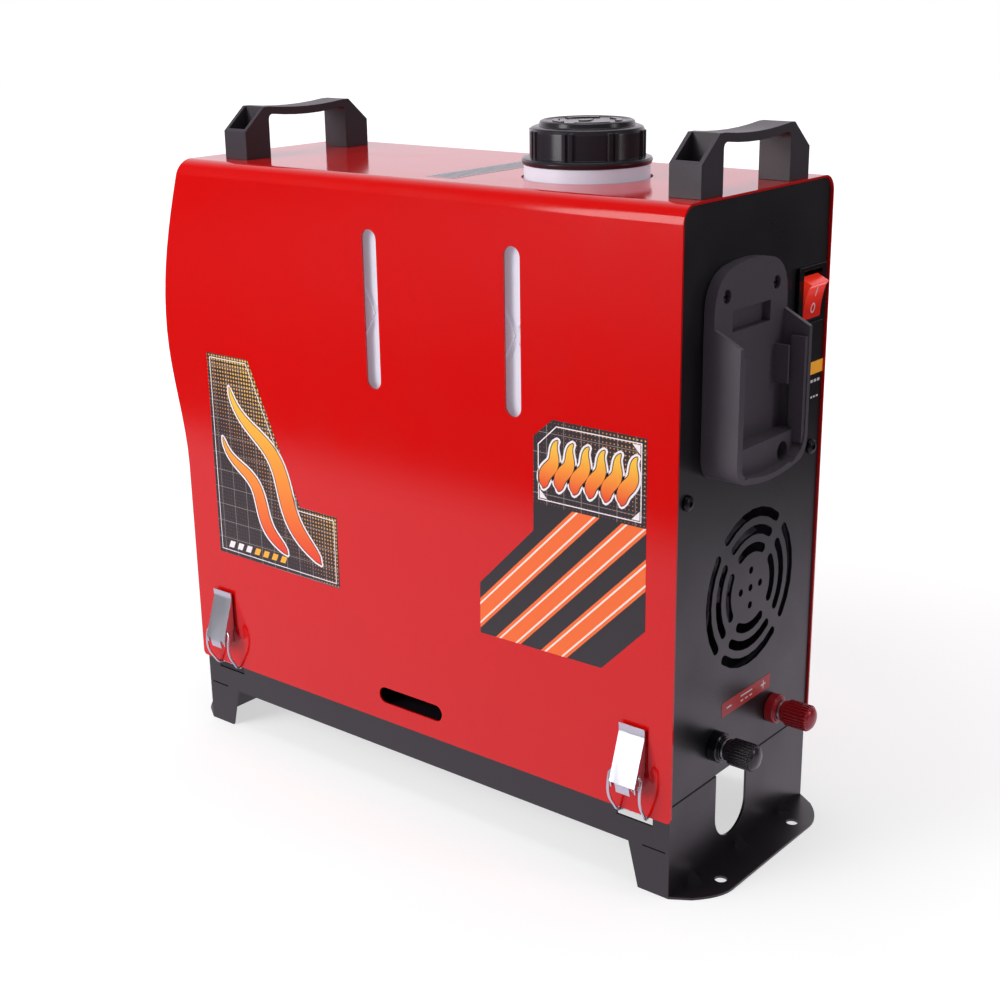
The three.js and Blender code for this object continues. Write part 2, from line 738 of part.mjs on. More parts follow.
// Screw cap: pairs of grip lugs round a smooth skirt, a bottom flange and a raised top disc.
function fuelCap() {
  const shoulder = capTop - 3;
  const profile = [
    [0, capCeiling], [capBore, capCeiling], [capBore, capBottom], [capFlange - 0.8, capBottom],
    [capFlange, capBottom + 1.2], [capFlange - 0.8, capBottom + 2.6], [capRadius, capBottom + 3.2],
    [capRadius, shoulder - 3], [capRadius - 1, shoulder - 0.8], [capRadius - 3, shoulder],
    [capRadius - 5, shoulder], [capRadius - 5.8, capTop - 0.6], [capRadius - 7, capTop], [0, capTop],
  ];
  let cap = turned('z', [neckX, neckY], profile, 40);
  const start = THREE.MathUtils.degToRad(capLugStart);
  for (let pair = 0; pair < capLugPairs; pair += 1) {
    for (const side of [-1, 1]) {
      const angle = (pair / capLugPairs) * Math.PI * 2 + start + side * 0.06;
      const lug = box(capRadius - 1.5, capRadius + 1.2, -1.1, 1.1, capBottom + 1.5, shoulder - 2);
      cap = join(cap, spun(lug, angle, [neckX, neckY, 0]));
    }
  }
  return cap;
}

function capSeal() {
  const low = capCeiling - seat - sealHeight;
  return turned('z', [neckX, neckY], [
    [neckBore - 3, low], [capBore - seat, low], [capBore - seat, low + sealHeight],
    [neckBore - 3, low + sealHeight], [neckBore - 3, low]], 36);
}

// ---------------------------------------------------------------- handles

// Bridge handle across the cover: two box feet with a slanted pocket for the bolt, and a grip
// that dips a little in the middle. Its outline is drawn in Y and Z about the middle of the grip.
function handle() {
  const half = handleLength / 2;
  const leg = half - handleFoot;
  const hip = half - handleSlope;
  const under = handleHeight - handleGrip;
  const outline = new THREE.Shape();
  outline.moveTo(-half, 0);
  outline.lineTo(-leg, 0);
  outline.lineTo(-leg, under - 3.5);
  outline.quadraticCurveTo(-leg, under, -leg + 3.5, under);
  outline.quadraticCurveTo(0, under - 2 * handleSag, leg - 3.5, under);
  outline.quadraticCurveTo(leg, under, leg, under - 3.5);
  outline.lineTo(leg, 0);
  outline.lineTo(half, 0);
  outline.lineTo(half, handleFace);
  outline.lineTo(hip, handleHeight);
  outline.lineTo(hip - 5, handleHeight);
  outline.quadraticCurveTo(0, handleHeight - 2 * handleSag, -hip + 5, handleHeight);
  outline.lineTo(-hip, handleHeight);
  outline.lineTo(-half, handleFace);
  let bridge = alongX(outline, -handleWidth / 2, handleWidth / 2, 6);
  const pocketHalf = handleWidth / 2 - 2.5;
  for (const side of [-1, 1]) {
    const middle = side * boltOffset;
    const pocket = box(-pocketHalf, pocketHalf, middle - pocketLength / 2, middle + pocketLength / 2,
      handlePocket, handleHeight + 1);
    const hole = rod('z', [0, middle], boltRadius + seat, -1, handlePocket + 1, 12);
    bridge = cut(bridge, pocket, hole);
  }
  return bridge;
}

function boltPlaces() {
  return Object.values(handleX).flatMap((x) => (
    [-1, 1].map((side) => [x, handleY + side * boltOffset])));
}

// Socket-head bolt with its nut clamped under the cover; z = 0 is the top of the cover.
function handleBolt() {
  const headLow = seat + handlePocket + seat;
  const head = rod('z', [0, 0], 4.7, headLow, headLow + 5, 14);
  const shank = rod('z', [0, 0], boltRadius, -sheet - 8, headLow + 0.1, 8);
  const nut = rod('z', [0, 0], 5.4, -sheet - seat - 4.5, -sheet - seat, 6);
  return cut(join(head, shank, nut), rod('z', [0, 0], 2.4, headLow + 2.5, headLow + 6, 6));
}

// ---------------------------------------------------------------- controller cradle

// The moulded pocket for the hand control: drawn with x = 0 at the panel and z up from its base.
function cradle() {
  const half = cradleWidth / 2;
  const outline = (inset) => {
    const shape = new THREE.Shape();
    const [w, low, high] = [half - inset, inset, cradleHeight - inset];
    shape.moveTo(-w, low + 16);
    shape.quadraticCurveTo(-w, low + 3.5, -w + 12, low + 2.5);
    shape.quadraticCurveTo(0, low - 2.5, w - 12, low + 2.5);
    shape.quadraticCurveTo(w, low + 3.5, w, low + 16);
    shape.lineTo(w, high - 24);
    shape.quadraticCurveTo(w, high - 3, w - 22, high - 1);
    shape.quadraticCurveTo(0, high + 1, -w + 22, high - 1);
    shape.quadraticCurveTo(-w, high - 3, -w, high - 24);
    return shape;
  };
  const slantTop = cradleHeight - cradleOpen;
  const wallTop = slantTop - cradleSlant;
  const open = polygon([
    [cradlePlate, slantTop], [cradleDepth, wallTop], [cradleDepth + 1, wallTop],
    [cradleDepth + 1, cradleHeight + 5], [cradlePlate, cradleHeight + 5],
  ]);
  const inner = outline(cradleWall);
  const pocket = alongX(inner, cradlePlate, cradleDepth + 1, 6);
  const above = box(0, cradleDepth + 1, -half, half, cradleShelf, cradleHeight);
  const below = box(cradleDepth - 6, cradleDepth + 1, -half, half, 0, cradleShelf + 1);
  let body = cut(
    alongX(outline(0), seat, cradleDepth, 6),
    alongY(open, -half - 1, half + 1),
    pocket.intersect(join(above, below)),
  );
  const { half: recessHalf, down, height, depth } = cradleRecess;
  const recess = box(cradlePlate - depth, cradlePlate + 1, -recessHalf, recessHalf,
    cradleHeight - down - height, cradleHeight - down);
  const cordHole = rod('x', [cordExit.side, cordExit.up], cordExit.radius, cradlePlate, cradleDepth + 1, 14);
  const pinHole = rod('x', [-cordExit.side - 6.4, cordExit.up - 1.6], 1.8, cradlePlate, cradleDepth + 1, 8);
  body = cut(body, recess, cordHole, pinHole);
  for (const side of [-1, 1]) {
    const [y, z] = [side * cradleScrewSide, cradleHeight - cradleScrewDown];
    body = cut(
      body,
      rod('x', [y, z], smallScrew + seat, -1, cradlePlate + 1, 10),
      rod('x', [y, z], smallHead + seat, cradlePlate - 3, cradlePlate + 1, 14));
  }
  for (const side of [-1, 1]) {
    const tabY = side * (half - cradleWall - cradleTab.inset);
    const tab = box(cradlePlate - 0.2, cradlePlate + cradleTab.depth, tabY - 0.8, tabY + 0.8,
      wallTop - cradleTab.down - cradleTab.height, wallTop - cradleTab.down);
    const [railIn, railOut] = [half - cradleWall - cradleRail.width, half - cradleWall + 0.2];
    const rail = box(cradleDepth - cradleRail.depth, cradleDepth - 0.6,
      Math.min(side * railIn, side * railOut), Math.max(side * railIn, side * railOut),
      cradleRail.low, wallTop - cradleRail.down);
    body = join(body, tab, rail);
  }
  return body;
}

// Small pan-head screw with a cross recess, seat at x = 0.
function smallCrossScrew() {
  const head = turned('x', [0, 0], [
    [0, seat], [smallHead, seat], [smallHead - 0.3, 1.6], [smallHead - 1.6, 2.3], [0, 2.5]], 14);
  const shank = rod('x', [0, 0], smallScrew, -smallScrewLength, seat + 0.1, 10);
  const bars = [box(1.3, 3, -1.9, 1.9, -0.45, 0.45), box(1.3, 3, -0.45, 0.45, -1.9, 1.9)];
  return cut(join(head, shank), join(...bars));
}

// ---------------------------------------------------------------- rocker switch

// The frame clips into the panel: a thin bezel outside and a box-shaped body inside.
function switchBezel() {
  const bezel = alongX(roundedBox(0, 0, switchWidth, switchHeight, 2), seat, seat + bezelThick, 3);
  const body = box(-plate - switchBody.depth, seat + 0.1, -switchBody.y, switchBody.y,
    -switchBody.z, switchBody.z);
  const well = box(-plate - switchBody.depth + 4, bezelThick + 1, -rockerHalf.y - 0.4,
    rockerHalf.y + 0.4, -switchBody.z + 1.2, switchBody.z - 1.2);
  return cut(join(bezel, body), well);
}

// The rocker is drawn level, with its pivot at the origin, and then tilted to rest with its
// lower half pressed in.
function switchRocker() {
  const tip = [rockerReach, rockerHalf.z];
  const outline = new THREE.Shape();
  outline.moveTo(-2.5, -3);
  outline.lineTo(2, -rockerHalf.z + 0.5);
  outline.lineTo(tip[0], -tip[1]);
  outline.quadraticCurveTo(tip[0] - 2.2, 0, tip[0], tip[1]);
  outline.lineTo(2, rockerHalf.z - 0.5);
  outline.lineTo(-2.5, 3);
  const level = alongY(outline, -rockerHalf.y, rockerHalf.y, 5);
  const tilt = THREE.MathUtils.degToRad(rockerTilt);
  return solid(geometryOf(level).rotateY(tilt));
}

// ---------------------------------------------------------------- binding posts

// Insulating bush: a collar outside the panel, a neck through it and a washer behind.
function postInsulator() {
  return turned('x', [0, 0], [
    [studRadius + seat, -plate - 4], [postBase - 1.2, -plate - 4], [postBase - 1.2, -plate - seat],
    [postNeck, -plate - seat], [postNeck, seat], [postBase, seat], [postBase, postCollar],
    [postBase - 0.7, postCollar + 0.6], [postBase - 1.4, postCollar + 0.6],
    [postBase - 1.4, postCollar + postStep], [studRadius + seat, postCollar + postStep],
    [studRadius + seat, -plate - 4]], 24);
}

// Threaded stud with its terminal nut behind the panel.
function postStud() {
  const stud = rod('x', [0, 0], studRadius, -plate - 20, postReach - 8, 16);
  const nutFace = -plate - 4 - seat;
  const nut = rod('x', [0, 0], 2 * studRadius, nutFace - postNut, nutFace, 6);
  return join(stud, nut);
}

function postWasher() {
  return turned('x', [0, 0], [
    [studRadius + seat, washerBack], [postBase - 2.6, washerBack], [postBase - 2.6, washerBack + 1.2],
    [studRadius + seat, washerBack + 1.2], [studRadius + seat, washerBack]], 24);
}

// Knob nut: a plain collar, a ribbed grip that widens a little, and a smooth domed end.
function postKnob() {
  const back = knobBack;
  const ribStart = back + 3.2;
  const ribEnd = postReach - 3;
  const bore = [studRadius + seat, postReach - 6];
  const core = turned('x', [0, 0], [
    [0, bore[1]], bore, [bore[0], back], [knobRadius - 1.9, back], [knobRadius - 1.5, back + 0.5],
    [knobRadius - 1.5, ribStart - 0.5], [knobRadius - 0.5, ribStart], [knobRadius - 0.7, ribEnd],
    [knobRadius - 0.6, ribEnd + 0.4], [knobRadius - 2.2, postReach - 1.2],
    [knobRadius - 4.6, postReach - 0.3], [0, postReach]], 26);
  const ribs = [];
  for (let rib = 0; rib < knobRibs; rib += 1) {
    const angle = rib * 2 * Math.PI / knobRibs;
    const bar = new THREE.BoxGeometry(ribEnd - ribStart - 0.4, 0.8, 1.2);
    bar.translate((ribEnd + ribStart) / 2, 0, knobRadius - 0.8).rotateX(angle);
    ribs.push(solid(bar));
  }
  return join(core, ...ribs);
}

// ---------------------------------------------------------------- toggle latches

const latchPlaces = [
  { name: 'front_left', x: -latchX, turn: 0 },
  { name: 'front_right', x: latchX, turn: 0 },
  { name: 'back_left', x: -latchX, turn: Math.PI },
  { name: 'back_right', x: latchX, turn: Math.PI },
];

// Latch parts are drawn on the front face: x across, [out, up] away from the cover and up.
function latchProfile(points, x0, x1) {
  const outline = polygon(points.map(([out, up]) => [-coverHalf - out, up]));
  return alongX(outline, x0, x1);
}

function latchRod(pivot, radius, x0, x1, sides) {
  return rod('x', [-coverHalf - pivot.out, pivot.up], radius, x0, x1, sides);
}

function latchBracket() {
  const { out, up } = leverPivot;
  const foot = latchProfile([[seat, up - 3], [seat, up + 24], [1.3, up + 24], [1.3, up - 3]], -6, 6);
  const ears = [-1, 1].map((side) => {
    const [x0, x1] = [side * 5.5 - 0.5, side * 5.5 + 0.5];
    const ear = latchProfile([
      [seat, up - 3], [out + 1, up - 2.6], [out + 2.4, up - 0.8], [out + 2.2, up + 1.4],
      [1.3, up + 6], [seat, up + 6]], x0, x1);
    return ear;
  });
  const rivets = [up + 12, up + 20].map((z) => (
    rod('y', [0, z], 2, -coverHalf - 1.9, -coverHalf - 1.2, 10)));
  return cut(join(foot, ...ears, ...rivets), latchRod(leverPivot, 1.55, -7, 7, 8));
}

// Pressed lever: a face that leans out from the thumb tab to its lower edge, a cheek turned back
// along each side, and a tongue folded down between them.
function latchLever() {
  const { up } = leverPivot;
  const lowEdge = [leverPivot.out + 4, up + 1.1];
  const bend = [2.4, up + 27.6];
  const face = [lowEdge, bend, [2.4, up + 31], [2.7, up + 33]];
  const thick = 1;
  const back = face.map(([o, u]) => [o - thick, u - 0.2]).reverse();
  const sheetPart = latchProfile([...face, ...back], -leverHalf, leverHalf);
  const cheeks = [-1, 1].map((side) => {
    const middle = side * (leverHalf - 0.5);
    return latchProfile([
      [lowEdge[0] - 0.5, lowEdge[1] - 0.1], [bend[0] - 0.4, bend[1] - 1], [1.5, bend[1] - 1.2],
      [1.5, up + 9], [3.4, up + 1], [6, up - 2.6], [lowEdge[0] - 1.2, up - 2.6]],
    middle - 0.5, middle + 0.5);
  });
  const tongue = latchProfile([
    lowEdge, [lowEdge[0] - thick, lowEdge[1] - 0.2], [lowEdge[0] - 2.2, up - 4.6],
    [lowEdge[0] - 1.3, up - 4.8]], -4.6, 4.6);
  const body = cut(join(sheetPart, ...cheeks, tongue), latchRod(bailPivot, 1.3, -12, 12, 8));
  const pin = latchRod(leverPivot, 1.2, -leverHalf - 0.3, leverHalf + 0.3, 8);
  return join(body, pin);
}

// Wire bail: short ends through the lever's cheeks, two bowed legs that go in under the cover's
// lower edge, and a cross-bar that pulls up against the top of its window.
function latchBail() {
  const rise = (share) => barHeight + (bailPivot.up - barHeight) * share;
  const wire = [
    [leverHalf - 1.6, bailPivot.out, bailPivot.up],
    [bailBow - 1.5, bailPivot.out, bailPivot.up],
    [bailBow - 0.45, bailPivot.out + 0.1, bailPivot.up - 0.45],
    [bailBow, bailPivot.out + 0.3, bailPivot.up - 1.6],
    [bailBow, bailPivot.out + 1.6, rise(0.73)],
    [bailBow, bailPivot.out + 1.7, rise(0.55)],
    [bailBow - 0.1, bailPivot.out + 0.4, rise(0.37)],
    [bailBow - 0.4, bailPivot.out - 2.8, rise(0.18)],
    [bailHalf + 0.3, 2.2, barHeight + 1],
    [bailHalf, 0.6, barHeight - 0.2],
    [bailHalf - 0.1, -0.8, barHeight - 0.3],
    [bailHalf - 0.8, barOut + 0.3, barHeight - 0.1],
    [bailHalf - 2, barOut, barHeight],
  ];
  const halfway = [[0, barOut, barHeight]];
  const other = wire.map(([x, out, up]) => [-x, out, up]).reverse();
  const route = [...wire, ...halfway, ...other];
  const points = route.map(([x, out, up]) => [x, -coverHalf - out, up]);
  return bentBar(points, wireRadius, 38, 6);
}

// ---------------------------------------------------------------- heater core

// Rounded square tube round the heater, with an intake ring at the fan and a spigot that reaches
// into the outlet collar. Its floor is open where the two stubs go down.
function heaterCasing() {
  const side = 2 * casingHalf;
  const hollow = side - 2 * casingWall;
  const corner = 24;
  const outside = alongX(roundedBox(axisY, axisZ, side, side, corner), casingLeft, casingRight, 4);
  const inside = alongX(
    roundedBox(axisY, axisZ, hollow, hollow, corner - casingWall),
    casingLeft + casingWall, casingRight - casingWall, 4);
  const centre = [axisY, axisZ];
  const spigotEnd = outletFace - 3;
  const spigot = rod('x', centre, outletRadius - outletWall - seat, spigotEnd, casingLeft + 1, 36);
  const spigotBore = rod('x', centre, outletRadius - 2 * outletWall - seat,
    spigotEnd - 1, casingLeft + casingWall + 1, 36);
  const intake = rod('x', centre, grilleOuter + 1, casingRight - casingWall - 1, casingRight + 1, 36);
  const stubHoles = stubs.map((stub) => (
    rod('z', [stub.x, axisY], stub.radius + seat, axisZ - casingHalf - 1, axisZ - casingHalf + 6, 16)));
  const feed = rod('z', fuelPort, spigotRadius + seat, axisZ - casingHalf - 1, axisZ - casingHalf + 6, 10);
  return cut(join(outside, spigot), inside, spigotBore, intake, ...stubHoles, feed);
}

// Cast heat exchanger: a round body with fins along it, four of which reach the casing's walls.
function heatExchanger() {
  const reach = casingHalf - casingWall - seat;
  const outline = new THREE.Shape();
  for (let fin = 0; fin < finCount; fin += 1) {
    const angle = (fin / finCount) * Math.PI * 2;
    const halfStep = Math.PI / finCount;
    const [root, tip] = [halfStep * 0.72, 1.2 / reach];
    const corners = [[exchangerCore, -root], [reach, -tip], [reach, tip], [exchangerCore, root]];
    corners.forEach(([radius, turn], i) => {
      const at = [axisY + radius * Math.cos(angle + turn), axisZ + radius * Math.sin(angle + turn)];
      if (fin === 0 && i === 0) outline.moveTo(...at);
      else outline.lineTo(...at);
    });
  }
  const [from, to] = [casingLeft + casingWall + exchangerGap, burnerBack - seat];
  const body = alongX(outline, from, to);
  const dome = turned('x', [axisY, axisZ], [
    [0, from - 12], [exchangerCore - 14, from - 10], [exchangerCore - 4, from - 4],
    [exchangerCore - 2, from + 1], [0, from + 1]], 24);
  const bosses = stubs.map((stub) => (
    rod('z', [stub.x, axisY], stub.radius + 4, stubTop + seat, axisZ - exchangerCore + 6, 16)));
  const room = stubs.map((stub) => (
    rod('z', [stub.x, axisY], stub.radius + 2, stubTop - 20, stubTop + seat, 16)));
  return join(cut(join(body, dome), ...room), ...bosses);
}

function burner() {
  const centre = [axisY, axisZ];
  const flangePart = rod('x', centre, burnerFlange, burnerBack, burnerBack + 6, 24);
  const chamber = rod('x', centre, burnerRadius, burnerBack + 5, motorBack - seat, 24);
  const port = rod('z', fuelPort, spigotRadius + 2.5, portTop + seat, axisZ - burnerRadius + 8, 10);
  return join(flangePart, chamber, port);
}

function blowerMotor() {
  const centre = [axisY, axisZ];
  const motorFront = motorBack + motorLength;
  const can = turned('x', centre, [
    [shaftRadius + seat, motorBack], [motorRadius, motorBack], [motorRadius, motorFront],
    [motorRadius - 3, motorFront + 4], [12, motorFront + 4], [12, motorFront + 8],
    [shaftRadius + seat, motorFront + 8], [shaftRadius + seat, motorBack]], 24);
  return can;
}

function motorShaft() {
  return rod('x', [axisY, axisZ], shaftRadius, motorBack + 4, fanFront + 4, 12);
}

// Fan wheel: a domed hub and blades that twist from root to tip. Each blade is a loft of
// sections between four radii.
function fanBlade() {
  const stations = 4;
  const root = fanHub - 2;
  const corners = [];
  for (let i = 0; i <= stations; i += 1) {
    const share = i / stations;
    const radius = root + (fanRadius - root) * share;
    const pitch = THREE.MathUtils.degToRad(58 - 30 * share);
    const chord = 13 + 17 * share;
    const sweep = 6 * share * share;
    for (const [along, thick] of [[-0.5, -1], [0.5, -1], [0.5, 1], [-0.5, 1]]) {
      const u = chord * along;
      const v = thick * 0.8;
      const x = fanMiddle + u * Math.sin(pitch) * 0.9 + v * Math.cos(pitch);
      const y = u * Math.cos(pitch) - v * Math.sin(pitch) + sweep;
      corners.push([x, y, radius]);
    }
  }
  const faces = [];
  for (let i = 0; i < stations; i += 1) {
    for (let j = 0; j < 4; j += 1) {
      const [a, b] = [i * 4 + j, i * 4 + (j + 1) % 4];
      faces.push(a, b, b + 4, a, b + 4, a + 4);
    }
  }
  const last = stations * 4;
  faces.push(0, 2, 1, 0, 3, 2, last, last + 1, last + 2, last, last + 2, last + 3);
  const geometry = new THREE.BufferGeometry();
  geometry.setAttribute('position', new THREE.Float32BufferAttribute(corners.flat(), 3));
  geometry.setIndex(faces);
  return geometry;
}

function fanWheel() {
  const centre = [axisY, axisZ];
  const hub = turned('x', centre, [
    [shaftRadius + seat, fanBack], [fanHub, fanBack], [fanHub, fanFront - 5], [fanHub - 2, fanFront - 1.5],
    [fanHub - 5, fanFront], [shaftRadius + seat, fanFront], [shaftRadius + seat, fanBack]], 24);
  let wheel = hub;
  for (let blade = 0; blade < fanBlades; blade += 1) {
    const angle = blade * 2 * Math.PI / fanBlades;
    wheel = join(wheel, solid(fanBlade().rotateX(angle).translate(0, ...centre)));
  }
  return wheel;
}

// Outlet collar for the hot-air duct: it is held by a flange inside the panel and has a bead at
// its mouth. The louvre turns in its mouth.
function outletCollar() {
  const inner = outletRadius - outletWall;
  return turned('x', [axisY, axisZ], [
    [inner, -outletReach], [outletRadius + 1, -outletReach], [outletRadius + 1, -outletReach + 3],
    [outletRadius, -outletReach + 4], [outletRadius, outletFace + plate + seat],
    [outletRadius + 4, outletFace + plate + seat], [outletRadius + 4, outletFace + plate + seat + 2],
    [inner, outletFace + plate + seat + 2], [inner, -outletReach]], 36);
}

function outletLouvre() {
  const outer = outletRadius - outletWall - seat;
  const [from, to] = [-outletReach + 1, -outletReach + 10];
  const ring = turned('x', [0, 0], [
    [outer - 2, from], [outer, from], [outer, to], [outer - 2, to], [outer - 2, from]], 36);
  const slats = [];
  for (let slat = 0; slat < louvreSlats; slat += 1) {
    const height = (slat - (louvreSlats - 1) / 2) * (2 * outer / (louvreSlats + 0.6));
    const half = Math.sqrt((outer - 1) ** 2 - height ** 2);
    const blade = new THREE.BoxGeometry(9, 2 * half, 1.4);
    blade.rotateY(THREE.MathUtils.degToRad(32)).translate((from + to) / 2, 0, height);
    slats.push(solid(blade));
  }
  const spine = box((from + to) / 2 - 2.5, (from + to) / 2 + 2.5, -1.2, 1.2, -outer + 1, outer - 1);
  const disc = rod('x', [0, 0], outer, from, to, 36);
  const blades = join(spine, ...slats).intersect(disc);
  return solid(geometryOf(join(ring, blades)).translate(0, axisY, axisZ));
}

// ---------------------------------------------------------------- below the casing

function stubTube(stub) {
  return turned('z', [stub.x, axisY], [
    [stub.radius - stubWall, stubBottom], [stub.radius, stubBottom], [stub.radius, stubTop],
    [stub.radius - stubWall, stubTop], [stub.radius - stubWall, stubBottom]], 20);
}

// Bent bracket: a saddle under the casing on two walls with feet on the deck.
function heaterBracket() {
  const top = axisZ - casingHalf - seat;
  const low = deckTop + seat;
  const half = bracketHalf;
  const foot = bracketFoot;
  const profile = polygon([
    [-half - foot, low], [-half + plate, low], [-half + plate, top - plate],
    [half - plate, top - plate], [half - plate, low], [half + foot, low],
    [half + foot, low + plate], [half, low + plate], [half, top], [-half, top],
    [-half, low + plate], [-half - foot, low + plate],
  ].map(([y, z]) => [axisY + y, z]));
  return alongX(profile, bracketFrom, bracketTo);
}

// Dosing pump: a can with a spigot at each end, lying in a rubber holder on the deck.
function fuelPump() {
  return turned('x', pumpCentre, [
    [0, pumpFrom - 10], [spigotRadius, pumpFrom - 10], [spigotRadius, pumpFrom], [8, pumpFrom],
    [8, pumpFrom + 6], [pumpRadius, pumpFrom + 8], [pumpRadius, pumpTo - 8], [9, pumpTo - 6],
    [9, pumpTo], [spigotRadius, pumpTo], [spigotRadius, pumpTo + 10], [0, pumpTo + 10]], 16);
}

function pumpHolder() {
  const [y, z] = pumpCentre;
  const middle = (pumpFrom + pumpTo) / 2;
  const [from, to] = [middle - 9, middle + 9];
  const ring = rod('x', pumpCentre, pumpRadius + 3, from, to, 20);
  const foot = box(from, to, y - 12, y + 12, deckTop + seat, z - pumpRadius + 2);
  return cut(join(ring, foot), rod('x', pumpCentre, pumpRadius + seat, from - 1, to + 1, 20));
}

// Filter hanging from the socket under the tank, with a spigot at each end.
function fuelFilter() {
  return turned('z', filterCentre, [
    [0, filterLow - 8], [spigotRadius, filterLow - 8], [spigotRadius, filterLow],
    [filterRadius - 3, filterLow + 1], [filterRadius, filterLow + 5], [filterRadius, filterHigh - 5],
    [filterRadius - 3, filterHigh - 1], [spigotRadius, filterHigh], [spigotRadius, filterHigh + 8],
    [0, filterHigh + 8]], 16);
}

// Hose from the filter round to the pump's inlet.
function suctionHose() {
  const [x, y] = filterCentre;
  const top = filterLow - 8 - seat;
  const end = pumpTo + 10 + seat;
  return bentBar([
    [x, y, top], [x, y, top - 10], [x + 3, y + 3, top - 26], [x + 5, pumpY - 5, pumpZ + 8],
    [x + 2, pumpY - 1, pumpZ + 1], [end + 5, pumpY, pumpZ], [end, pumpY, pumpZ]], hoseRadius, 22, 8);
}

// Delivery line from the pump up to the burner's fuel port, through the casing's floor.
function deliveryLine() {
  const [x, y] = fuelPort;
  const start = pumpFrom - 10 - seat;
  return bentBar([
    [start, pumpY, pumpZ], [start - 7, pumpY, pumpZ], [x + 2, pumpY + 9, pumpZ + 2],
    [x, y - 11, pumpZ + 8], [x, y - 2, pumpZ + 18], [x, y, pumpZ + 28], [x, y, portTop]],
  spigotRadius, 24, 8);
}

// Sealed control unit on the back of the control panel, behind the cradle.
function controlUnit() {
  const [x0, x1] = [panelBack - seat - unitDepth, panelBack - seat];
  const screws = cradleBottom + cradleHeight - cradleScrewDown;
  const middle = screws - unitBelow - unitHeight / 2;
  const housing = roundedBox(cradleY, middle, unitWidth, unitHeight, 4);
  const socket = box(x0 - 5, x0 + 1, cradleY - 14, cradleY + 14, middle - 20, middle - 8);
  return join(alongX(housing, x0, x1, 3), socket);
}

// ---------------------------------------------------------------- assembly

addPart('base_chassis', baseChassis(), darkPaint);
addPart('cover_shell', coverShell(), redPaint);
addPart('control_end_panel', controlPanel(), blackPaint);
addPart('outlet_end_panel', outletPanel(), blackPaint);
addPart('tank_shelf', tankShelf(), steel);
addPart('fuel_tank', fuelTank(), tankPlastic);
addPart('cap_seal', capSeal(), rubber);
addPart('fuel_cap', fuelCap(), glossBlack);

const outletScrewFace = -outletEdge(panelScrewZ) + panelRecess - 1;
for (const [name, y] of [['back', panelScrewY], ['front', -panelScrewY]]) {
  addPart(`control_screw_${name}`, buttonScrew(), blackSteel, [panelFace, y, panelScrewZ]);
  const place = [outletScrewFace, y, panelScrewZ];
  addPart(`outlet_screw_${name}`, buttonScrew(), blackSteel, place, Math.PI);
}

for (const [side, x] of Object.entries(handleX)) {
  addPart(`handle_${side}`, handle(), blackPlastic, [x, handleY, coverTop + seat]);
  for (const [end, sign] of [['front', -1], ['back', 1]]) {
    const place = [x, handleY + sign * boltOffset, coverTop];
    addPart(`handle_bolt_${side}_${end}`, handleBolt(), blackSteel, place);
  }
}

addPart('controller_cradle', cradle(), blackPlastic, [panelFace, cradleY, cradleBottom]);
cradleScrewPlaces.forEach(([y, z], i) => {
  const place = [panelFace + cradlePlate - 3, y, z];
  addPart(`cradle_screw_${i + 1}`, smallCrossScrew(), blackSteel, place);
});
addPart('control_unit', controlUnit(), blackPlastic);
addPart('switch_bezel', switchBezel(), blackPlastic, [panelFace, switchY, switchZ]);
addPart('switch_rocker', switchRocker(), rockerPlastic, [panelFace + rockerPivot, switchY, switchZ]);

for (const [colour, y] of Object.entries(postY)) {
  const plastic = colour === 'red' ? redPlastic : glossBlack;
  const place = [panelFace, y, postZ];
  addPart(`post_insulator_${colour}`, postInsulator(), plastic, place);
  addPart(`post_stud_${colour}`, postStud(), zinc, place);
  addPart(`post_washer_${colour}`, postWasher(), zinc, place);
  addPart(`post_knob_${colour}`, postKnob(), plastic, place);
}

for (const place of latchPlaces) {
  addPart(`latch_bracket_${place.name}`, latchBracket(), zinc, [place.x, 0, 0], place.turn);
  addPart(`latch_lever_${place.name}`, latchLever(), zinc, [place.x, 0, 0], place.turn);
  addPart(`latch_bail_${place.name}`, latchBail(), zinc, [place.x, 0, 0], place.turn);
}

addPart('heater_casing', heaterCasing(), blackPlastic);
addPart('heat_exchanger', heatExchanger(), castAluminium);
addPart('burner', burner(), castAluminium);
addPart('blower_motor', blowerMotor(), steel);
addPart('motor_shaft', motorShaft(), steel);
addPart('fan_wheel', fanWheel(), blackPlastic);
addPart('outlet_collar', outletCollar(), blackPlastic);
addPart('outlet_louvre', outletLouvre(), blackPlastic);
for (const stub of stubs) addPart(stub.name, stubTube(stub), steel);
addPart('heater_bracket', heaterBracket(), steel);
addPart('fuel_pump', fuelPump(), steel);
addPart('pump_holder', pumpHolder(), rubber);
addPart('fuel_filter', fuelFilter(), tankPlastic);
addPart('fuel_hose', suctionHose(), rubber);
addPart('delivery_line', deliveryLine(), rubber);

export default heater;
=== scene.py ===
# Portable diesel air heater: a red sheet-metal cover over a charcoal base, with the fuel tank's
# cap and two handles on top, a black control end, and four wire-bail latches. Metres, +Z up.
import json
import math

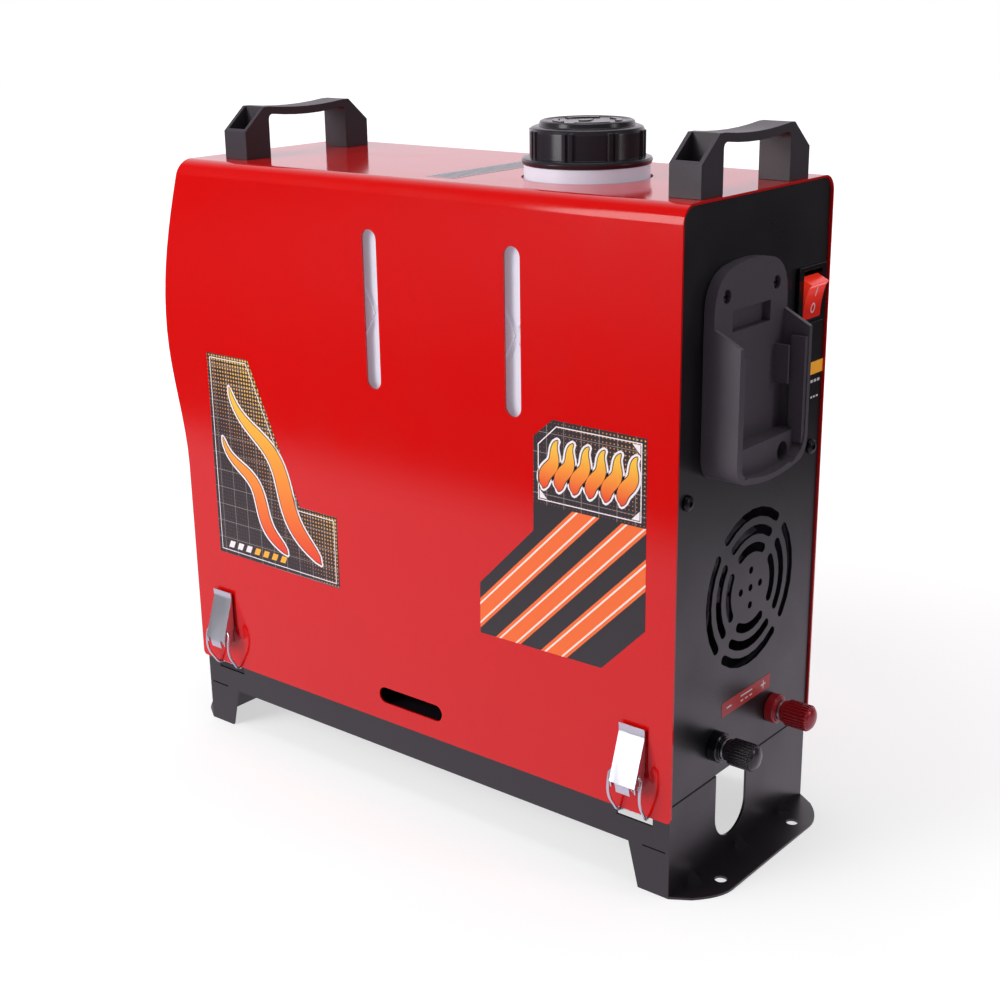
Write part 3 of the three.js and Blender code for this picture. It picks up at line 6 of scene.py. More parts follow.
import bmesh
import bpy
import numpy as np
from mathutils import Matrix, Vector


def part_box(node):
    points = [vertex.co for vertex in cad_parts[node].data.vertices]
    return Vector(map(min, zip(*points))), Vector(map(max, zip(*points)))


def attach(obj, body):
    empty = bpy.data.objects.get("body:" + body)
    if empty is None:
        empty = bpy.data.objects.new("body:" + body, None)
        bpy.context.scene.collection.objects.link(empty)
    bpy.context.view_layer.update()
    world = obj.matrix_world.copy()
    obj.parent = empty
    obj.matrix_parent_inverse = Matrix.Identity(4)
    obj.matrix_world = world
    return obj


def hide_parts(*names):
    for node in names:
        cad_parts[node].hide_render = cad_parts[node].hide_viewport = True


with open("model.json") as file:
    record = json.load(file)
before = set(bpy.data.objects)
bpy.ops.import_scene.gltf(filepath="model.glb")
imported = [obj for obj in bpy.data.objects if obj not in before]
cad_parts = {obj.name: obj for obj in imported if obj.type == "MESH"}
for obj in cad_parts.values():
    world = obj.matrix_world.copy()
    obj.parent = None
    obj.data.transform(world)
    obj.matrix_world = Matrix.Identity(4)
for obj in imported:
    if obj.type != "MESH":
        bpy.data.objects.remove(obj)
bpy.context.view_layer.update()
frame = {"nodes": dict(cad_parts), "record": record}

# ---------------------------------------------------------------- base
# The base is a folded steel tray on four feet, with a flange at each end that is screwed to
# the floor. It is powder coated charcoal, which leaves a satin face with a very fine peel.


def linear(code):
    """Turns six hex digits of an sRGB colour into linear red, green, blue and alpha."""
    srgb = np.array([int(code[i:i + 2], 16) for i in (0, 2, 4)]) / 255
    rgb = np.where(srgb <= 0.04045, srgb / 12.92, ((srgb + 0.055) / 1.055) ** 2.4)
    return (*(float(v) for v in rgb), 1.0)


def add(tree, kind, inputs=None, **settings):
    """Adds a node, sets its options, then fills its inputs with values or links them."""
    node = tree.nodes.new("ShaderNode" + kind)
    for key, value in settings.items():
        setattr(node, key, value)
    for key, value in (inputs or {}).items():
        if isinstance(value, bpy.types.NodeSocket):
            tree.links.new(value, node.inputs[key])
        else:
            node.inputs[key].default_value = value
    return node


def material(name, code, roughness, **sockets):
    """A material whose shader has a base colour, a roughness and any other named sockets."""
    made = bpy.data.materials.new(name)
    made.use_nodes = True
    shader = made.node_tree.nodes["Principled BSDF"]
    shader.inputs["Base Color"].default_value = linear(code)
    shader.inputs["Roughness"].default_value = roughness
    for key, value in sockets.items():
        shader.inputs[key.replace("_", " ")].default_value = value
    return made


def grain(made, size, height, roughness=None, tint=None, detail=3.0, stretch=(1, 1, 1)):
    """Gives a material bumps of a real size and height in metres, on Object coordinates, with
    a roughness that wanders between two values and a second colour that clouds the first."""
    tree = made.node_tree
    shader = tree.nodes["Principled BSDF"]
    place = add(tree, "TexCoord").outputs["Object"]
    drawn = add(tree, "Mapping", {"Vector": place, "Scale": stretch}).outputs["Vector"]
    fine = add(tree, "TexNoise", {"Vector": drawn, "Scale": 1 / size, "Detail": detail})
    bump = add(tree, "Bump", {"Height": fine.outputs["Fac"], "Distance": height, "Strength": 0.6})
    tree.links.new(bump.outputs["Normal"], shader.inputs["Normal"])
    cloud = add(tree, "TexNoise", {"Vector": drawn, "Scale": 26.0, "Detail": 6.0})
    if roughness:
        low, high = roughness
        span = add(tree, "MapRange", {"Value": cloud.outputs["Fac"], "From Min": 0.3,
                                      "From Max": 0.7, "To Min": low, "To Max": high})
        tree.links.new(span.outputs["Result"], shader.inputs["Roughness"])
    if tint:
        first = tuple(shader.inputs["Base Color"].default_value)
        mixed = add(tree, "Mix", {"Factor": cloud.outputs["Fac"], "A": first, "B": linear(tint)},
                    data_type="RGBA")
        tree.links.new(mixed.outputs["Result"], shader.inputs["Base Color"])
    return made


def eased(node, made, radius, steps=2, sharp=38, sink=0.0):
    """Stands a copy of a CAD node in its place: triangles merged into flat faces, the edges
    sharper than an angle rounded to a radius, and the rest shaded smooth. Its lowest face can
    sink a little, to close the gap that the solids keep between touching pieces."""
    mesh = frame["nodes"][node].data.copy()
    work = bmesh.new()
    work.from_mesh(mesh)
    bmesh.ops.remove_doubles(work, verts=work.verts, dist=2e-6)
    bmesh.ops.dissolve_limit(work, angle_limit=math.radians(0.6), verts=work.verts,
                             edges=work.edges)
    for face in work.faces:
        face.smooth = True
    lowest = min(vert.co.z for vert in work.verts)
    for vert in work.verts:
        if vert.co.z < lowest + 1e-5:
            vert.co.z -= sink
    work.to_mesh(mesh)
    work.free()
    mesh.materials.clear()
    mesh.materials.append(made)
    piece = bpy.data.objects.new(node + "_eased", mesh)
    bpy.context.scene.collection.objects.link(piece)
    bevel = piece.modifiers.new("rounded_edges", "BEVEL")
    bevel.limit_method = "ANGLE"
    bevel.angle_limit = math.radians(sharp)
    bevel.width = radius
    bevel.segments = steps
    piece.modifiers.new("flat_faces", "WEIGHTED_NORMAL").weight = 100
    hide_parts(node)
    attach(piece, body_of[node])
    return piece


body_of = {
    node: body
    for body, members in frame["record"]["behaviour"]["bodies"].items()
    for node in members
}

charcoal_coat = grain(
    material("charcoal_powder_coat", "1d171c", 0.34, IOR=1.6), 0.0009, 0.00004,
    roughness=(0.28, 0.4))
eased("base_chassis", charcoal_coat, 0.0004)

# ---------------------------------------------------------------- cover
# The cover is one steel sheet bent over the top, painted a deep gloss red. Gloss enamel has a
# clear smooth face over its colour, with a faint peel that only shows in reflections.

red_enamel = grain(
    material("red_gloss_enamel", "cc0a08", 0.1, IOR=1.5), 0.0035, 0.000012,
    roughness=(0.08, 0.13), tint="c70806", detail=1.0)
eased("cover_shell", red_enamel, 0.0003)

# ---------------------------------------------------------------- end panels and shelf
# Both ends are flat steel panels set just inside the cover and powder coated black. The tank
# shelf between them is bare sheet, which stays out of sight.

black_coat = grain(
    material("black_powder_coat", "151317", 0.32, IOR=1.6), 0.0009, 0.00004,
    roughness=(0.26, 0.38))
bare_sheet = grain(
    material("bare_steel_sheet", "8f9296", 0.42, Metallic=1.0), 0.0006, 0.00002,
    roughness=(0.34, 0.52))
eased("control_end_panel", black_coat, 0.00025)
eased("outlet_end_panel", black_coat, 0.00025)
eased("tank_shelf", bare_sheet, 0.0003)

# ---------------------------------------------------------------- printed films on the cover
# Two die-cut vinyl films on the front: charcoal grounds with a pale keyline, a graph grid, a
# halftone and warm bands, and tapering heat waves printed over them from yellow to orange.

cover_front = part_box("cover_shell")[0].y * 1000
cover_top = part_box("cover_shell")[1].z * 1000
film_gap = 0.02
film_thick = 0.12
ink_step = 0.03


def film(name, shapes, place, inks, body):
    """Flat shapes cut from thin film, as one mesh. Each shape is an outline, the height of its
    back, the height of its front, and the number of its ink. The outline's points are carried
    to both heights over the face it is stuck to, joined by walls and closed by flat faces."""
    corners, faces, slots, start = [], [], [], 0
    for outline, low, high, ink in shapes:
        points = np.asarray(outline, float)
        across, up = points.T
        if np.sum(across * np.roll(up, -1) - np.roll(across, -1) * up) < 0:
            points = points[::-1]
        ring = np.arange(len(points))
        after = np.roll(ring, -1)
        for height in (low, high):
            level = np.full(len(points), height)
            corners.append(np.column_stack(place(points[:, 0], points[:, 1], level)) / 1000)
        faces.append((start + ring[::-1]).tolist())
        faces.append((start + len(points) + ring).tolist())
        walls = np.column_stack([ring, after, after + len(points), ring + len(points)])
        faces += (start + walls).tolist()
        slots += [ink] * (len(points) + 2)
        start += 2 * len(points)
    mesh = bpy.data.meshes.new(name)
    mesh.from_pydata(np.concatenate(corners).tolist(), [], faces)
    for ink in inks:
        mesh.materials.append(ink)
    mesh.polygons.foreach_set("material_index", np.array(slots, np.int32))
    mesh.update()
    piece = bpy.data.objects.new(name, mesh)
    bpy.context.scene.collection.objects.link(piece)
    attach(piece, body)
    return piece


def on_front(x, z, height):
    """A point of the front face, by its X and Z, at a height off it."""
    return x, cover_front - height, z


def inset(outline, depth):
    """A closed run of points moved inwards: each corner goes to where its two sides meet after
    both have moved in by the depth."""
    points = np.asarray(outline, float)
    side = np.roll(points, -1, 0) - points
    side /= np.linalg.norm(side, axis=1, keepdims=True)
    inwards = np.column_stack([-side[:, 1], side[:, 0]])
    if np.sum(points[:, 0] * np.roll(points[:, 1], -1)
              - np.roll(points[:, 0], -1) * points[:, 1]) < 0:
        inwards = -inwards
    both = inwards + np.roll(inwards, 1, 0)
    return points + depth * both / np.sum(both * inwards, 1, keepdims=True)


def keyline(outline, depth, width, low, high, ink):
    """A thin line all round, as one mitred strip along each side of the outline."""
    outer, inner = inset(outline, depth), inset(outline, depth + width)
    strips = np.stack([outer, np.roll(outer, -1, 0), np.roll(inner, -1, 0), inner], axis=1)
    return [(strip, low, high, ink) for strip in strips]


def heat_wave(foot, tip, wide, sway, spread=0.0, turns=1.3, count=30):
    """The outline of one tapering wave: its middle runs from foot to tip and sways by a sine,
    and its half width follows the root of a half sine, made wider all round by a spread."""
    foot_share, taper, blunt = 1.15, 0.75, 0.45
    foot, tip = np.array(foot, float), np.array(tip, float)
    length = np.linalg.norm(tip - foot)
    along = (tip - foot) / length
    part = np.linspace(-spread / length, 1 + spread / length, count)
    bend = sway * np.sin(2 * np.pi * turns * part) * np.sin(np.pi * np.clip(part, 0, 1)) ** 0.5
    middle = foot + part[:, None] * (tip - foot) + bend[:, None] * np.array([-along[1], along[0]])
    slope = np.gradient(middle, axis=0)
    slope /= np.linalg.norm(slope, axis=1, keepdims=True)
    half = wide * np.sqrt(np.sin(np.pi * np.clip(part, 0, 1))) * (foot_share - taper * part)
    half += spread
    half[[0, -1]] *= blunt
    aside = half[:, None] * np.column_stack([-slope[:, 1], slope[:, 0]])
    return np.concatenate([middle + aside, (middle - aside)[::-1]])


def inked_waves(waves):
    """Each wave three times, one on another: a wide pale edge, a dark line, the warm ink."""
    shapes = []
    for spread, level, ink in ((2.1, 1, 1), (0.9, 2, 2), (0.35, 3, 3)):
        shapes += [(heat_wave(*wave, spread=spread), film_thick, film_thick + level * ink_step,
                    ink) for wave in waves]
    return shapes


def dot_ground(name, low, high, bands=()):
    """Charcoal film printed with a graph grid, with dots on a square lattice turned by 45
    degrees that grow from one height to another, and with slanted bands below the dots."""
    made = material(name, "2b272a", 0.34, IOR=1.5)
    tree = made.node_tree
    place = add(tree, "SeparateXYZ", {0: add(tree, "TexCoord").outputs["Object"]}).outputs
    fall = add(tree, "Math", {0: place["X"], 1: place["Z"]}, operation="SUBTRACT").outputs[0]
    rise = add(tree, "Math", {0: place["X"], 1: place["Z"]}, operation="ADD").outputs[0]
    dot_pitch, grid_pitch, line, band_top = 0.0024, 0.0115, 0.00035, 0.2125
    waves = [
        add(tree, "Math", {0: add(tree, "Math", {0: turned, 1: math.pi / dot_pitch},
                                  operation="MULTIPLY").outputs[0]}, operation="SINE").outputs[0]
        for turned in (fall, rise)]
    hills = add(tree, "Math", {0: waves[0], 1: waves[1]}, operation="MULTIPLY").outputs[0]
    level = add(tree, "MapRange", {"Value": rise, "From Min": low, "From Max": high,
                                   "To Min": 0.95, "To Max": 0.1}).outputs["Result"]
    dots = add(tree, "Math", {0: hills, 1: level}, operation="GREATER_THAN").outputs[0]
    lines = [
        add(tree, "Math", {0: add(tree, "Math", {0: axis, 1: grid_pitch},
                                  operation="FLOORED_MODULO").outputs[0], 1: line},
            operation="LESS_THAN").outputs[0]
        for axis in (place["X"], place["Z"])]
    grid = add(tree, "Math", {0: lines[0], 1: lines[1]}, operation="MAXIMUM").outputs[0]
    warm = add(tree, "Mix", {"Factor": level, "A": linear("e8c060"), "B": linear("c8643c")},
               data_type="RGBA").outputs["Result"]
    ground = linear("2b272a")
    dotted = add(tree, "Mix", {"Factor": dots, "A": ground, "B": warm},
                 data_type="RGBA").outputs["Result"]
    ruled = add(tree, "Mix", {"Factor": grid, "A": dotted, "B": linear("8b8280")},
                data_type="RGBA").outputs["Result"]
    if bands:
        margin = 4
        first, last = bands[0][0] - margin, bands[-1][1] + margin
        span = add(tree, "MapRange", {"Value": fall, "From Min": first / 1000,
                                      "From Max": last / 1000}).outputs["Result"]
        ramp = add(tree, "ValToRGB", {"Fac": span})
        ramp.color_ramp.interpolation = "CONSTANT"
        stops = ramp.color_ramp.elements
        stops[0].color = ground
        stops[1].position, stops[1].color = 1.0, ground
        for start, end in bands:
            marks = (start, start + 2.6, start + 3.8, end - 3.8, end - 2.6, end)
            colours = ("ee6a2c", "f3ddd0", "ee6a2c", "f3ddd0", "ee6a2c", "2b272a")
            for mark, colour in zip(marks, colours):
                stops.new((mark - first) / (last - first)).color = linear(colour)
        above = add(tree, "Math", {0: place["Z"], 1: band_top}, operation="GREATER_THAN").outputs[0]
        ruled = add(tree, "Mix", {"Factor": above, "A": ramp.outputs["Color"], "B": ruled},
                    data_type="RGBA").outputs["Result"]
    tree.links.new(ruled, tree.nodes["Principled BSDF"].inputs["Base Color"])
    return made


def warm_ink(name, low, high):
    """Ink that runs from red-orange at one height to yellow at another."""
    made = material(name, "f0a030", 0.34, IOR=1.5)
    tree = made.node_tree
    place = add(tree, "SeparateXYZ", {0: add(tree, "TexCoord").outputs["Object"]}).outputs
    span = add(tree, "MapRange", {"Value": place["Z"], "From Min": low, "From Max": high})
    ramp = add(tree, "ValToRGB", {"Fac": span.outputs["Result"]})
    stops = ramp.color_ramp.elements
    stops[0].color, stops[1].color = linear("e23c1e"), linear("f0bc38")
    stops.new(0.5).color = linear("f08c2c")
    tree.links.new(ramp.outputs["Color"], tree.nodes["Principled BSDF"].inputs["Base Color"])
    return made


pale_ink = grain(material("pale_ink", "ece4e6", 0.36, IOR=1.5), 0.0004, 0.000004)
dark_ink = grain(material("dark_ink", "2a2224", 0.36, IOR=1.5), 0.0004, 0.000004)
fin_outline = [(-166.6, 260.5), (-129.1, 260.4), (-89.2, 172.7), (-57.4, 172.2),
               (-57.6, 126.1), (-167.0, 127.2)]
fin_waves = [((-73, 139), (-147, 240), 7.0, 6.5), ((-103, 139), (-156, 206), 5.2, 5.0)]
fin_ticks = [
    ([(x, 132), (x + 4.6, 132), (x + 6.8, 136.5), (x + 2.2, 136.5)], film_thick,
     film_thick + ink_step, ink)
    for x, ink in zip(range(-158, -104, 8), (1, 1, 1, 4, 4, 4, 4))]
film("front_film_left",
     [(fin_outline, film_gap, film_thick, 0),
      *keyline(fin_outline, 2.4, 0.55, film_thick, film_thick + ink_step, 1),
      *inked_waves(fin_waves), *fin_ticks],
     on_front,
     [dot_ground("charcoal_film_dots", 0.04, 0.125), pale_ink, dark_ink,
      warm_ink("warm_ink_left", 0.14, 0.235), warm_ink("warm_ink_flat", -1.0, 0.4)],
     body_of["cover_shell"])

step_outline = [(107.5, 260.8), (167.9, 260.7), (168.3, 155.6), (140.2, 127.1), (55.3, 126.2),
                (55.6, 157.0), (94.3, 196.3), (94.8, 250.0)]
crown_outline = [(110.0, 258.2), (165.4, 258.2), (165.4, 214.6), (97.4, 214.6), (97.4, 246.4)]
crown_waves = [((101.5 + 10.2 * i, 222.5), (111 + 10.2 * i, 249.5), 4.3, 1.6) for i in range(6)]
crown_corners = [
    ([(x, z), (x + dx, z), (x, z + dz)], film_thick, film_thick + ink_step, 1)
    for x, z, dx, dz in ((163.9, 256.7, -5, -5), (163.9, 216.1, -5, 5), (98.9, 216.1, 5, 5))]
film("front_film_right",
     [(step_outline, film_gap, film_thick, 0),
      *keyline(crown_outline, 0.4, 0.6, film_thick, film_thick + ink_step, 1),
      *inked_waves(crown_waves), *crown_corners],
     on_front,
     [dot_ground("charcoal_film_bands", 0.36, 0.5,
                 bands=((-92, -74), (-60, -42), (-28, -10))), pale_ink, dark_ink,
      warm_ink("warm_ink_right", 0.222, 0.246)],
     body_of["cover_shell"])

# A bright film lies flat on the top beside the cap, ruled with dark bars.
silver_film = grain(material("silver_film", "a9a7ac", 0.3, Metallic=0.7), 0.0008, 0.000006)
top_outline = [(5.0, -55.0), (25.4, -55.0), (25.4, 28.0), (5.0, 28.0)]
film("top_film",
     [(top_outline, film_gap, film_thick, 0)] + [
         ([(7.2, y), (23.2, y), (23.2, y + 1.6), (7.2, y + 1.6)], film_thick,
          film_thick + ink_step, 1)
         for y in np.arange(-52, 25, 4.2)],
     lambda x, y, height: (x, y, cover_top + height), [silver_film, dark_ink],
     body_of["cover_shell"])

# ---------------------------------------------------------------- fuel tank and cap
# The tank is blow-moulded natural polyethylene, cloudy white with a faint violet cast. It lets
# a little light in, so its edges are soft. The cap is satin black plastic on a rubber seal.

# The plastic is given a weak pale blue emission, a painted glow that lifts its tone, on the tank
# and on the fuel filter below.
natural_plastic_painted_glow = grain(
    material("natural_polyethylene_painted_glow", "cfcdd6", 0.36, IOR=1.51, Subsurface_Weight=0.3,
             Subsurface_Scale=0.004, Emission_Color=(0.72, 0.82, 1, 1), Emission_Strength=0.2),
    0.006, 0.00008, roughness=(0.3, 0.44))
polished_black = grain(
    material("polished_black_plastic", "0e0d10", 0.16, IOR=1.5), 0.0016, 0.00001,
    roughness=(0.12, 0.22))
satin_black = grain(
    material("satin_black_plastic", "29262b", 0.2, IOR=1.5), 0.0016, 0.00001,
    roughness=(0.16, 0.26))
seal_rubber = grain(material("black_rubber", "17171a", 0.75, IOR=1.52), 0.0012, 0.00006)
eased("fuel_tank", natural_plastic_painted_glow, 0.0006)
cap = eased("fuel_cap", satin_black, 0.0007, sharp=24, sink=0.0009)
eased("cap_seal", seal_rubber, 0.0003)

# The cap's crown is dished by less than a millimetre, and carries raised marks: a drop in the
# middle, and four bars bent round it.
cap_low, cap_high = (np.array(corner) * 1000 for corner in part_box("fuel_cap"))
cap_x, cap_y = (cap_low[:2] + cap_high[:2]) / 2
crown_high = cap_high[2]
crown_rim, crown_dish = 1.6, 0.8
work = bmesh.new()
work.from_mesh(cap.data)
crown = [face for face in work.faces
         if face.normal.z > 0.99 and face.calc_center_median().z * 1000 > crown_high - 0.1]
bmesh.ops.inset_region(work, faces=crown, thickness=crown_rim / 1000,
                       depth=-crown_dish / 1000)
work.to_mesh(cap.data)
work.free()


def bent_bar(radius, wide, start, end, count=16):
    """The outline of a bar bent round the crown's centre, from one angle to another: an arc
    half the bar's width outside a radius, and back by an arc half its width inside."""
    angle = np.radians(np.linspace(start, end, count))
    arcs = [np.column_stack([np.cos(turn), np.sin(turn)]) * reach
            for turn, reach in ((angle, radius + wide / 2), (angle[::-1], radius - wide / 2))]
    return np.concatenate(arcs)


# The drop's half width is a sine of the angle, thinned to its tip by a sine of half the angle.
mark_high, bar_radius, bar_wide, bar_sweep = 0.6, 17.5, 3.0, 62
turn = np.linspace(0, 2 * np.pi, 33)[:-1]
drop = np.column_stack([
    4.2 * np.sin(turn) * np.sin(turn / 2) ** 1.5, 6.0 * np.cos(turn)])
film("cap_marks",
     [(bent_bar(bar_radius, bar_wide, start, start + bar_sweep), 0.0, mark_high, 0)
      for start in (14, 104, 194, 284)]
     + [(drop, 0.0, mark_high, 0)],
     lambda x, y, height: (cap_x + x, cap_y + y, crown_high - crown_dish + height),
     [satin_black], body_of["fuel_cap"])

# ---------------------------------------------------------------- handles
# Two moulded nylon bridges, each held by a pair of socket-head bolts down its slanted pockets.
# Glass-filled nylon has a dull, finely grained skin.

grained_nylon = grain(
    material("grained_nylon", "352f36", 0.44, IOR=1.53), 0.0009, 0.00009, roughness=(0.38, 0.5))
black_oxide = grain(
    material("black_oxide_steel", "1d1c1f", 0.36, Metallic=0.6), 0.0008, 0.00003,
    roughness=(0.3, 0.42))
for side in ("left", "right"):
    eased(f"handle_{side}", grained_nylon, 0.0014, steps=3, sink=0.0003)
    for end in ("front", "back"):
        eased(f"handle_bolt_{side}_{end}", black_oxide, 0.0004)

# ---------------------------------------------------------------- controller cradle
# The cradle is a matt moulding that a plug-in controller slides into from above. Two small
# screws hold it to the panel, and the sealed control unit sits behind.

matt_moulding = grain(
    material("matt_black_moulding", "544e56", 0.46, IOR=1.5), 0.0008, 0.00016,
    roughness=(0.4, 0.54), tint="464048")
eased("controller_cradle", matt_moulding, 0.0009, steps=3)
for number in (1, 2):
    eased(f"cradle_screw_{number}", black_oxide, 0.0002)
eased("control_unit", matt_moulding, 0.0006)

# ---------------------------------------------------------------- rocker switch
# A snap-in rocker switch: a glossy black bezel round a translucent red rocker, which is marked
# in white with a bar for on above a ring for off. The rocker carries a painted red glow that grows
# towards its top, in place of light shining through it.

red_rocker_painted_glow = grain(
    material("translucent_red_plastic_painted_glow", "e0160c", 0.16, IOR=1.5, Subsurface_Weight=0.4,
             Subsurface_Scale=0.003, Emission_Color=(1, 0.05, 0.02, 1)),
    0.003, 0.00001)
tree = red_rocker_painted_glow.node_tree
# Emission strength rises with height: a painted glow, brightest at the rocker's top.
height = add(tree, "SeparateXYZ", {0: add(tree, "TexCoord").outputs["Object"]}).outputs["Z"]
painted_glow_by_height = add(tree, "MapRange", {"Value": height, "From Min": 0.308, "From Max": 0.322,
                              "To Min": 0.1, "To Max": 0.42}).outputs["Result"]
tree.links.new(painted_glow_by_height, tree.nodes["Principled BSDF"].inputs["Emission Strength"])
eased("switch_bezel", polished_black, 0.0006)
rocker = eased("switch_rocker", red_rocker_painted_glow, 0.0004, sharp=3)
nose_drop = 2.6
for vert in rocker.data.vertices:
    if vert.co.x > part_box("switch_rocker")[1].x - 0.0002:
        vert.co.z -= nose_drop / 1000
rocker_mesh = rocker.data
rocker_points = np.zeros(len(rocker_mesh.vertices) * 3, np.float32)
rocker_mesh.vertices.foreach_get("co", rocker_points)
rocker_points = rocker_points.reshape(-1, 3).astype(float) * 1000
rocker_y = rocker_points[:, 1].mean()
faced = {}
bezel_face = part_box("switch_bezel")[1].x * 1000
for x, _, z in rocker_points:
    if x > bezel_face - 0.2:
        faced[round(z, 2)] = x
face_z = np.array(sorted(faced))
face_x = np.array([faced[z] for z in face_z])


def on_rocker(y, z, height):
    """A point at a height off the rocker's hollow front, whose X is read between its vertices."""
    return np.interp(z, face_z, face_x) + height, rocker_y + y, z


# The ring is an oval cut in short pieces, so that each piece follows the hollow front.
on_bar = [(-0.45, 315.2), (0.45, 315.2), (0.45, 320.4), (-0.45, 320.4)]
ring_z, mark_back, mark_front = 308.6, -0.1, 0.08
outer, inner = (
    np.column_stack([wide * np.sin(turn), ring_z + tall * np.cos(turn)])
    for wide, tall in ((2.3, 2.9), (1.5, 2.1)))
oval = np.stack([outer, np.roll(outer, -1, 0), np.roll(inner, -1, 0), inner], axis=1)
film("switch_marks",
     [(on_bar, mark_back, mark_front, 0), *((part, mark_back, mark_front, 0) for part in oval)],
     on_rocker, [pale_ink], body_of["switch_rocker"])

# ---------------------------------------------------------------- labels on the control panel
# An amber film above two rows of short pale dashes, beside the cradle, and a dull red label over
# the terminals with a minus, the sign for direct current, and a plus.

panel_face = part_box("control_end_panel")[1].x * 1000
# The amber film has a weak orange emission, a painted glow that lifts its tone.
amber_ink_painted_glow = grain(
    material("amber_film_painted_glow", "f9ad26", 0.5, IOR=1.5, Emission_Color=(1, 0.4, 0.02, 1),
             Emission_Strength=0.16), 0.0006, 0.00001)
brick_ink = grain(material("brick_red_film", "bd3330", 0.42, IOR=1.5), 0.0006, 0.00001)


def on_panel(y, z, height):
    """A point of the control panel's face, by its Y and Z, at a height off it."""
    return panel_face + height, y, z


def block(left, right, low, high, ink, top=film_thick, back=film_gap):
    """One upright rectangle of film, between a left and right Y and a low and high Z."""
    return ([(left, low), (right, low), (right, high), (left, high)], back, top, ink)


film("amber_patch",
     [block(60.0, 73.6, 269.2, 276.4, 0),
      *(block(y, y + 2.6, 264.4, 266.0, 1) for y in (60.6, 64.4, 68.2)),
      *(block(y, y + 1.9, 255.4, 256.5, 1) for y in (61.5, 64.6, 67.7))],
     on_panel, [amber_ink_painted_glow, pale_ink], body_of["control_end_panel"])
raised = film_thick + ink_step
film("terminal_label",
     [block(-23.6, 28.8, 90.5, 99.2, 0),
      block(-18.6, -13.4, 94.3, 95.3, 1, raised),
      block(-3.6, 8.8, 96.0, 96.9, 1, raised),
      *(block(y, y + 2.8, 93.0, 93.9, 1, raised) for y in (-3.6, 1.2, 6.0)),
      block(18.6, 23.8, 94.3, 95.3, 1, raised), block(20.7, 21.7, 92.2, 97.4, 1, raised + 0.01)],
     on_panel, [brick_ink, pale_ink], body_of["control_end_panel"])

# ---------------------------------------------------------------- terminal posts
# Two binding posts, one red and one black: an insulating collar, a plated stud with a washer,
# and a ribbed knob that screws down on it. The solid has the ribs, and a bump sharpens them.

dark_red_plastic = grain(
    material("dark_red_plastic", "a81c25", 0.26, IOR=1.5), 0.0016, 0.00001,
    roughness=(0.2, 0.32))
zinc = grain(
    material("bright_zinc_plate", "dedfe6", 0.3, Metallic=1.0), 0.0007, 0.00002,
    roughness=(0.22, 0.4), tint="cbccd5", stretch=(1, 1, 0.06))


def ribbed(name, code, node, count):
    """Plastic whose bumps sharpen the straight ribs of a node along X: a cosine of the angle
    round its middle, in step with its ribs, let in only beyond nine tenths of its radius."""
    made = material(name, code, 0.24, IOR=1.5)
    rib_depth, smooth_until, ribbed_from = 0.0002, 0.86, 0.93
    tree = made.node_tree
    low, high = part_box(node)
    middle = (0.0, (low.y + high.y) / 2, (low.z + high.z) / 2)
    radius = (high.y - low.y) / 2
    place = add(tree, "TexCoord").outputs["Object"]
    spoke = add(tree, "VectorMath", {0: place, 1: middle}, operation="SUBTRACT").outputs[0]
    flat = add(tree, "VectorMath", {0: spoke, 1: (0, 1, 1)}, operation="MULTIPLY").outputs[0]
    apart = add(tree, "SeparateXYZ", {0: flat}).outputs
    angle = add(tree, "Math", {0: apart["Y"], 1: apart["Z"]}, operation="ARCTAN2").outputs[0]
    turned = add(tree, "Math", {0: angle, 1: float(count)}, operation="MULTIPLY").outputs[0]
    wave = add(tree, "Math", {0: turned}, operation="COSINE").outputs[0]
    reach = add(tree, "VectorMath", {0: flat}, operation="LENGTH").outputs["Value"]
    outer = add(tree, "MapRange", {"Value": reach, "From Min": smooth_until * radius,
                                   "From Max": ribbed_from * radius}).outputs[0]
    ribs = add(tree, "Math", {0: wave, 1: outer}, operation="MULTIPLY").outputs[0]
    bump = add(tree, "Bump", {"Height": ribs, "Distance": rib_depth, "Strength": 1.0})
    tree.links.new(bump.outputs["Normal"], tree.nodes["Principled BSDF"].inputs["Normal"])
    return made


knob_ribs = 26
for colour, plastic, code in (("black", polished_black, "242126"),
                              ("red", dark_red_plastic, "a81c25")):
    eased(f"post_insulator_{colour}", plastic, 0.0004)
    knob_plastic = ribbed(f"ribbed_{colour}_plastic", code, f"post_knob_{colour}", knob_ribs)
    eased(f"post_knob_{colour}", knob_plastic, 0.00012, sharp=16)
    eased(f"post_stud_{colour}", zinc, 0.0003)
    eased(f"post_washer_{colour}", zinc, 0.0002)

# ---------------------------------------------------------------- latches
# Four draw latches of plated steel hold the cover down: a riveted bracket, a lever pressed
# from sheet, and a wire bail that hooks into a window in the base.

for end in ("front", "back"):
    for side in ("left", "right"):
        eased(f"latch_bracket_{end}_{side}", zinc, 0.0002)
        eased(f"latch_lever_{end}_{side}", zinc, 0.0003)
        eased(f"latch_bail_{end}_{side}", zinc, 0.0001)

# ---------------------------------------------------------------- panel screws
# Button-head screws, blackened, two at each end. They are the only fasteners that show on the
# end panels, apart from the cradle's own pair.

for place in ("control_screw", "outlet_screw"):
    for end in ("front", "back"):
        eased(f"{place}_{end}", black_oxide, 0.0003)

# ---------------------------------------------------------------- heater inside
# The heater core lies along the housing: a plastic casing round a cast heat exchanger with
# its burner, then the motor and a grey fan behind the grille. Sand-cast aluminium is grainy.

